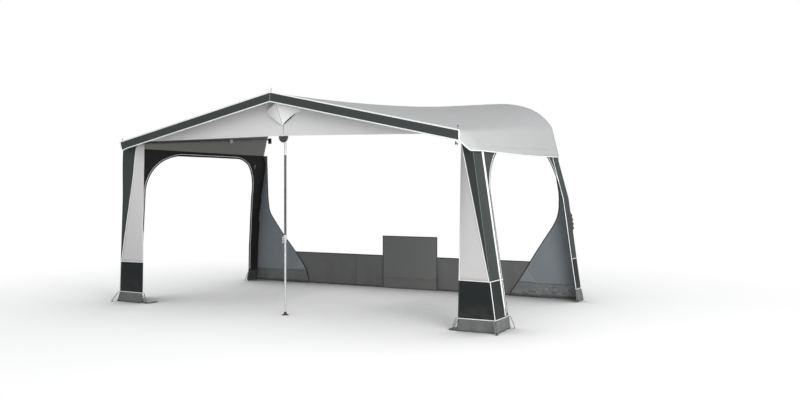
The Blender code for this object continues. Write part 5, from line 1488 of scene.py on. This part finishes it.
def zip_run(label, side):
    """The long zip: its tapes, its rows of teeth, and the dark piping beside it."""
    heights = spread(BOX_FOOT + 0.012, PILLAR_KINK, 46) + spread(PILLAR_KINK, PILLAR_TOP - 0.012, 4)[1:]
    tape, dark, teeth = [], [], []
    for height in heights:
        seam = zip_line(height)
        fold = fold_line(height)
        wall = side_point(depth_of(seam) - 0.05, height)
        across = (wall - fold).normalized()
        rise = (zip_line(height + 0.01) - zip_line(height - 0.01)).normalized()
        out = across.cross(rise).normalized()
        if out.x < 0:
            out = -out
        tape.append((flipped(seam + out * 0.0016 - across * 0.002, side), flipped(out, side)))
        dark.append((flipped(seam + out * 0.0020 + across * 0.022, side), flipped(out, side)))
        teeth.append((seam + out * 0.0026, out, across))
    run = sum((b[0] - a[0]).length for a, b in zip(teeth, teeth[1:]))
    table, travel = [(0.0, teeth[0])], 0.0
    for a, b in zip(teeth, teeth[1:]):
        travel += (b[0] - a[0]).length
        table.append((travel, b))
    bites, mark = [], 0
    count = int(run / TOOTH_PITCH)
    for number_of in range(count):
        travel = (number_of + 0.5) * run / count
        while table[mark + 1][0] < travel:
            mark += 1
        (start, a), (stop, b) = table[mark], table[mark + 1]
        share = (travel - start) / (stop - start)
        point, out, across = (a[i].lerp(b[i], share) for i in range(3))
        hand = 1 if number_of % 2 else -1
        first, last = point - across * (0.0012 * hand), point + across * (0.0052 * hand)
        bites.append([(flipped(first, side), flipped(out, side)), (flipped(last, side), flipped(out, side))])
    tape = flat_trim("zip_tape_", [tape], ZIP_TAPE, label)
    teeth = flat_trim("zip_teeth_", bites, ZIP_TEETH, label)
    dark = round_trim("zip_guard_piping_", [dark], DARK_PIPING, label)


# The side walls

def wall_stations(spring_depth, front_width):
    """Pairs of the wall's outer edge and the arch's edge, from the front foot round to the rear foot."""
    front_end = spring_depth - front_width
    rear_end = LEG_SEAM_TOP + ARCH_REAR_WIDTH
    front, rear = [], []
    for share in spread(0, 1, 30):
        height = mix(BOX_FOOT + GAP / 2, ARCH_SPRING_HEIGHT, share)
        depth = mix(ARCH_FOOT_DEPTH, spring_depth, height / ARCH_SPRING_HEIGHT)
        front.append((zip_edge(height, True), side_point(depth, height)))
    front += fine_corner(partial(zip_edge, towards_wall=True), ZIP_KINK_DEPTH - ZIP_EDGE, front_end,
                         front_end, ARCH_SPRING_HEIGHT, front_width)
    top = []
    for share in spread(0, 1, 24)[1:-1]:
        depth = mix(front_end, rear_end, share)
        top.append((under_drop(1, depth), side_point(depth, ARCH_TOP)))
    marks = {0, HEM_STAND, BOX_FOOT, LEG_SKIRT_TOP, LEG_BOX_TOP}
    for height in sorted(marks | set(spread(0.17, ARCH_REAR_HEIGHT, 56)) | set(GATHER_ROWS)):
        share = height / ARCH_REAR_HEIGHT
        inner = side_point(mix(LEG_SEAM_FOOT, LEG_SEAM_TOP, share), max(height, HEM_STAND))
        gathered = wall_edge(height) + Vector((gather_reach(height), 0, 0))
        rear.append((gathered, Vector((inner.x, inner.y, height))))
    rear += fine_corner(wall_edge, FLAP_FRONT, rear_end, rear_end, ARCH_REAR_HEIGHT, -ARCH_REAR_WIDTH)
    return front + top + rear[::-1]


def gather_reach(height):
    """How far the elastic in the rear leg's edge bulges the cloth outwards at a height."""
    gather = smooth(GATHER_LOW, GATHER_LOW + 0.06, height) * smooth(GATHER_HIGH, GATHER_HIGH - 0.07, height)
    return GATHER_OUT * gather * (1 + 0.35 * math.sin(math.tau * height / 0.052))


def fine_corner(spring, top_corner, top_end, centre_depth, spring_height, width):
    """A round corner of the arch in small steps, with the wall's outer edge beside it."""
    pairs = []
    for share in spread(0, 1, 20)[1:]:
        if share <= CORNER_RISE_SHARE:
            outer = spring(mix(spring_height, PILLAR_KINK, share / CORNER_RISE_SHARE))
        elif share <= CORNER_TOP_SHARE:
            lift = (share - CORNER_RISE_SHARE) / (CORNER_TOP_SHARE - CORNER_RISE_SHARE)
            outer = spring(PILLAR_KINK).lerp(under_drop(1, top_corner), lift)
        else:
            run = (share - CORNER_TOP_SHARE) / (1 - CORNER_TOP_SHARE)
            outer = under_drop(1, mix(top_corner, top_end, run))
        pairs.append((outer, arch_edge(math.pi / 2 * share, centre_depth, spring_height, width)))
    return pairs


def wall_cloth(label, side, spring_depth, front_width):
    stations = wall_stations(spring_depth, front_width)
    rows = mirrored([between(outer, inner, 9) for outer, inner in stations], side)
    face = Vector((side, 0, 0))

    def ripple(u, v, point):
        calm = math.sin(math.pi * u)
        return calm * (0.0018 + 0.0018 * rumple((point.x, point.y * 1.5, point.z * 0.6), 0.25, 23))

    def pick(centre):
        in_front = depth_of(centre) > 1
        if centre.z > (BOX_TOP if in_front else LEG_BOX_TOP):
            return 0
        return 1 if in_front or centre.z > LEG_SKIRT_TOP else 2

    # The walls' inner sides take darker finishes: painted shade inside the awning.
    wall = cloth("side_wall_cloth_" + label, rows, [BAND_CLOTH, BOX_CLOTH, MUD_CLOTH], ripple, face,
                 pick=pick, inner=[WALL_INSIDE_SHADE, WALL_INSIDE_SHADE, MUD_INSIDE_SHADE])
    edge, line = [], []
    for outer, inner in stations:
        away = (outer - inner).normalized()
        if inner.z < LEG_SKIRT_TOP:
            continue
        edge.append((placed(inner + away * ARCH_BINDING * 0.45, side), face))
        line.append((placed(inner + away * (ARCH_BINDING + ARCH_PIPING / 2), side) + face * 0.002, face))
    binding = flat_trim("arch_binding_", [edge], DARK_BINDING, label)
    piping = round_trim("arch_piping_", [line], PIPING_WHITE, label)
    inside = [(point - face * 0.0052, out) for point, out in line]
    inside = round_trim("arch_inner_piping_", [inside], ARCH_GREY, label)
    leg = []
    low = spread(LEG_SKIRT_TOP, ARCH_REAR_HEIGHT, 20)
    top = drop_point(1, 1, LEG_SEAM_TOP).z + (LEFT_HEM_LIFT if side < 0 else 0)
    for height in low + spread(ARCH_REAR_HEIGHT, top, 10)[1:]:
        share = height / ARCH_REAR_HEIGHT
        depth = mix(LEG_SEAM_FOOT, LEG_SEAM_TOP, share) - 0.012
        lift = 0.0046 if height < PILLAR_KINK else 0.0070
        leg.append((placed(side_point(depth, height), side) + face * lift, face))
    leg = round_trim("leg_seam_piping_", [leg], PIPING_WHITE, label)
    cross = []
    for height in (BOX_FOOT + 0.004, BOX_TOP):
        seam = zip_line(height)
        inner = side_point(mix(ARCH_FOOT_DEPTH, spring_depth, height / ARCH_SPRING_HEIGHT) + 0.010, height)
        cross.append([(placed(point, side) + face * 0.0032, face)
                      for point in between(beside(seam, inner, 0.010), inner, 4)])
    for height in (LEG_SKIRT_TOP, LEG_BOX_TOP):
        front = side_point(mix(LEG_SEAM_FOOT, LEG_SEAM_TOP, height / ARCH_REAR_HEIGHT) - 0.008, height)
        cross.append([(placed(point, side) + face * 0.0054, face)
                      for point in between(front, side_point(FLAP_FRONT, height), 6)])
    cross = round_trim("leg_box_piping_", cross, PIPING_WHITE, label)
    hang(["side_wall_" + label])

    rows = []
    for share in spread(0, 1, 10):
        flare = 0.012 * (1 - share)
        row = []
        for along_it in spread(0, 1, 18):
            depth = mix(LEG_SEAM_FOOT + 0.004 + flare, FLAP_FRONT, along_it)
            height = mix(mix(0.014, 0.034, along_it), LEG_SKIRT_TOP - 0.002, share)
            point = side_point(depth, height)
            wave = 0.006 * (1 - share) * math.sin(math.pi * along_it) * math.sin(3 * math.pi * along_it)
            row.append(Vector((point.x + 0.003 + flare * 0.6 + wave, point.y, height)))
        rows.append(row)
    skirt = cloth("leg_skirt_cloth_" + label, mirrored(rows, side), MUD_CLOTH, face=face)
    runs = []
    corners = ((LEG_SEAM_FOOT, LEG_SEAM_FOOT + 0.055, 0.0), (FLAP_FRONT + 0.012, 0.010, 0.008))
    for depth, out_depth, out_x in corners:
        top = placed(side_point(depth, LEG_SKIRT_TOP - 0.005), side) + face * 0.007
        reach = min(side_point(depth, 0).x + out_x, LEG_PEG_REACH)
        ground = placed(at(reach, out_depth, PEG_HEIGHT), side)
        runs += ladder_strap(top, ground, (face + Vector((0, 0, 0.4))).normalized(), 0.018)
    straps = flat_trim("leg_straps_", runs, STRAP_WEB, label)
    hang([])


# Cloth in the plane of the wall

def flap_surface(side, shares, share, height):
    """A point of the rear flap at a share across it, from the free edge to the leg."""
    outer = wall_reach(min(height, PILLAR_KINK)) + CLOTH
    if height > PILLAR_KINK:
        outer = under_drop(1, FLAP_DEPTH, height).x - CLOTH
    outer = side * placed(at(outer + gather_reach(height), FLAP_DEPTH, height), side).x
    near = [flap_edge(min(FLAP_TOP, max(0, height + step)), shares) for step in (-0.05, 0, 0.05)]
    x = mix(sum(near) / len(near), outer, share)
    fade = max(0, 1 - height / (MUD_FLAP_HEIGHT * 1.5)) * math.sin(math.pi * share)
    turn = 3 * math.tau * share + 7 * height
    low = smooth(0.0, 0.05, height) * smooth(MUD_FLAP_HEIGHT + 0.02, MUD_FLAP_HEIGHT - 0.04, height)
    crumple = (RIGHT_CRUMPLE if side > 0 else LEFT_CRUMPLE) * low * math.sin(math.pi * share) ** 0.5
    crumple *= abs(rumple((x, height * 1.3, 4 + side), 0.06, 29))
    drape = 0.004 * math.sin(math.pi * share) * (1 + rumple((x * 2, height * 0.5, 9), 0.4, 31))
    fold = MUD_FLAP_FOLD * fade * (1 + math.sin(turn)) * 0.8 + crumple + drape * smooth(0.17, 0.4, height)
    return at(side * x, FLAP_DEPTH + max(0, fold), height)


def rear_flap(label, side, shares):
    heights = set(spread(0, MUD_FLAP_HEIGHT * 1.4, 26)) | set(spread(MUD_FLAP_HEIGHT * 1.4, FLAP_TOP, 44))
    heights = sorted(heights | set(GATHER_ROWS))
    rows = [[flap_surface(side, shares, share, height) for share in spread(0, 1, 42)] for height in heights]
    mud = FLAP_MUD_CLOTH if side > 0 else FLAP_MUD_SMOOTH
    piece = cloth("rear_flap_cloth_" + label, rows, [FLAP_CLOTH, mud],
                  pick=lambda centre: 1 if centre.z < MUD_FLAP_HEIGHT else 0)
    lift = 0.0014
    free = [(row[0] + FRONT * lift + Vector((side * 0.005, 0, 0)), FRONT) for row in rows]
    edge = flat_trim("flap_edge_binding_", [free], DARK_BINDING, label)
    line = [(flap_surface(side, shares, share, MUD_FLAP_HEIGHT) + FRONT * 0.0016, FRONT)
            for share in spread(0.01, 0.985, 40)]
    low = [(flap_surface(side, shares, share, 0.018) + FRONT * 0.0016, FRONT)
           for share in spread(0, 0.985, 40)]
    band = flat_trim("flap_mud_seam_", [line], WELT, label)
    hem = flat_trim("flap_mud_hem_", [low], MUD_BINDING, label)
    rings = []
    for height, share in ((MUD_FLAP_HEIGHT + 0.060, 0.035), (0.400, 0.885)):
        centre = flap_surface(side, shares, share, height) + FRONT * 0.0018
        rings.append([(centre + Vector((math.cos(turn), 0, math.sin(turn))) * FLAP_EYELET_RADIUS, FRONT)
                      for turn in spread(0, math.tau, 16)])
    rings = round_trim("flap_eyelets_", rings, ZIP_METAL, label)
    patch = []
    for share in spread(0, 1, 10):
        height = mix(MUD_FLAP_HEIGHT + 0.006, MUD_FLAP_HEIGHT + 0.165, share)
        far = mix(0.30, 0.012, share)
        patch.append([flap_surface(side, shares, 0.008 + far * part, height) + FRONT * 0.0013
                      for part in spread(0, 1, 12)])
    patch = cloth("flap_corner_patch_" + label, patch, PATCH_CLOTH, thickness=0.0008)
    hang([])
    hang(["rear_flap_" + label])


def draught_point(x, lift):
    behind = FLAP_DEPTH - CLOTH - GAP
    turn = math.tau * x / DRAUGHT_WAVE
    wave = 0.6 * math.sin(turn + 2 * lift) + 0.4 * math.sin(1.62 * turn + 1)
    wave += 0.25 * rumple((x, lift * 0.3, 2), 0.09, 37)
    end = min(x - DRAUGHT_LEFT, DRAUGHT_RIGHT - x)
    taut = max(lift ** 2, min(1, 1 - (end - DRAUGHT_FLAT) / DRAUGHT_FADE))
    return at(x, mix(DRAUGHT_DEPTH + DRAUGHT_FOLD * wave, behind, taut), DRAUGHT_HEIGHT * lift)


def wall_skirts():
    columns = spread(DRAUGHT_LEFT, DRAUGHT_RIGHT, 210)
    rows = [[draught_point(x, lift) for x in columns] for lift in spread(0, 1, 16)]
    piece = cloth("draught_skirt_cloth", rows, DRAUGHT_CLOTH)
    top = [(draught_point(x, 1) + Vector((0, -0.001, -0.004)), FRONT)
           for x in spread(DRAUGHT_LEFT, DRAUGHT_RIGHT, 80)]
    bead = flat_trim("draught_skirt_rail_hem", [top], MUD_BINDING)
    low = [(draught_point(x, 0.03) + FRONT * 0.0009, FRONT) for x in columns]
    hem = flat_trim("draught_skirt_hem", [low], MUD_BINDING)
    seams = []
    for x in DRAUGHT_SEAMS:
        seams.append([(draught_point(x, lift) + FRONT * 0.0012, FRONT) for lift in spread(0.02, 0.98, 20)])
    seams = flat_trim("draught_skirt_seams", seams, WELT)
    hang(["draught_skirt"])

    rows = []
    pleat = WHEEL_COVER_PLEAT_HEIGHT
    marks = {pleat * share for share in (0, 0.88, 0.96, 1, 1.04, 1.12)}
    marks |= set(spread(pleat * 1.2, WHEEL_COVER_HEIGHT, 22)) | set(spread(0, pleat * 0.8, 6))
    for height in sorted(marks):
        row = []
        for share in spread(0, 1, 40):
            x = mix(WHEEL_COVER_LEFT, WHEEL_COVER_RIGHT, share)
            crease = max(0, 1 - abs(height / pleat - 1) * 4)
            fade = max(0, 1 - height / WHEEL_COVER_HEIGHT)
            bulge = 0.35 * math.sin(math.pi * share) ** 2 * fade
            soft = 0.10 * math.sin(math.pi * share) * (1 + rumple((x, height, 1), 0.15, 41)) * fade
            row.append(at(x, FLAP_DEPTH + WHEEL_COVER_PLEAT * (crease + bulge + soft), height))
        rows.append(row)
    cover = cloth("wheel_cover_cloth", rows, COVER_CLOTH)
    runs = [[(row[0] + FRONT * 0.0013 + Vector((0.006, 0, 0)), FRONT) for row in rows],
            [(row[-1] + FRONT * 0.0013 - Vector((0.006, 0, 0)), FRONT) for row in rows],
            [(point + FRONT * 0.0013 - Vector((0, 0, 0.006)), FRONT) for point in rows[-1]]]
    edge = flat_trim("wheel_cover_hem", runs, MUD_BINDING)
    hang(["wheel_cover"])


# Small fittings and the pole frame

def small_fittings():
    caps = {"pale": [], "dark": []}
    hub = ridge_axis(ROOF_DEPTH - FRAME_CLEAR)
    for base, height, kind in ((hub, PEAK_HEIGHT, "pale"), (flipped(elbow_axis(), -1), EAVE_HEIGHT, "pale"),
                               (elbow_axis(), EAVE_HEIGHT, "dark")):
        top = Vector((base.x, base.y, height + SPIKE_RISE))
        caps[kind].append([(top + Vector((0, 0, rise)), FRONT) for rise in (-0.006, 0.0, 0.0066)])
    round_trim("spike_caps_pale", caps["pale"], PALE_CAP)
    round_trim("spike_cap_dark", caps["dark"], BLACK_MOULDED)
    hook = []
    centre = band_point(HOOK_REACH, 1) + Vector((0, 0.006, -HOOK_DROP))
    for turn in spread(math.radians(-60), math.radians(215), 18):
        hook.append((centre + Vector((math.cos(turn), 0, math.sin(turn))) * HOOK_RADIUS, FRONT))
    stem = [(centre + Vector((-HOOK_RADIUS, 0, 0.003 + rise)), FRONT) for rise in (0.0, 0.010, 0.022)]
    piece = round_trim("band_hook", [hook, stem], BLACK_MOULDED)
    rings = []
    for x in (-EAVE_REACH + FRAME_CLEAR, 0, EAVE_REACH - FRAME_CLEAR):
        height = mix(PEAK_HEIGHT, EAVE_HEIGHT, abs(x) / EAVE_REACH) + 0.0016
        slope = -math.copysign(PEAK_HEIGHT - EAVE_HEIGHT, x) / EAVE_REACH if x else 0
        ring = []
        for turn in spread(0, math.tau, 18):
            along_x = math.cos(turn) * ROOF_EYELET_RADIUS
            rise = along_x * slope if x else -abs(along_x) * (PEAK_HEIGHT - EAVE_HEIGHT) / EAVE_REACH
            depth = ROOF_DEPTH - FRAME_CLEAR + math.sin(turn) * ROOF_EYELET_RADIUS
            ring.append((at(x + along_x, depth, height + rise), UP))
        rings.append(ring)
    round_trim("roof_eyelets", rings, ZIP_METAL)


def pole_finishes():
    steel = ["upright_centre_top"]
    black, pale = ["peak_hub"], []
    for label in ("left", "right"):
        steel += ["rafter_" + label]
        black += ["corner_elbow_" + label]
        dress(["zip_slider_" + label], ZIP_METAL)
    for label in ("left", "centre", "right"):
        steel += ["leg_" + label]
        dress(["roof_pole_" + label, "roof_slide_" + label], DARK_TUBE)
        black += ["foot_" + label, "wall_pad_" + label, "pole_tee_" + label]
        pale += ["leg_clamp_" + label, "leg_lever_" + label, "roof_clamp_" + label, "roof_lever_" + label]
        dress(["upright_" + label], DARK_TUBE)
    dress(steel, ZINC_STEEL)
    dress(black, BLACK_MOULDED)
    dress(pale, PALE_MOULDED)


camera()
studio()
studio_floor()
roof_cloth()
front_band_cloth()
gable_cloth()
vent_hood()
tongue_cloth()
for name_of, side_of in SIDES_OF_IT:
    pillar_cloths(name_of, side_of)
    pillar_foot(name_of, side_of)
    zip_run(name_of, side_of)
wall_cloth("left", -1, LEFT_ARCH_SPRING_DEPTH - LEFT_SPRING_BACK, LEFT_ARCH_FRONT_WIDTH - LEFT_SPRING_BACK)
wall_cloth("right", 1, ARCH_SPRING_DEPTH, ARCH_FRONT_WIDTH + RIGHT_CORNER_WIDER)
rear_flap("left", -1, FLAP_LEFT_SHARES)
rear_flap("right", 1, FLAP_RIGHT_SHARES)
wall_skirts()
small_fittings()
pole_finishes()
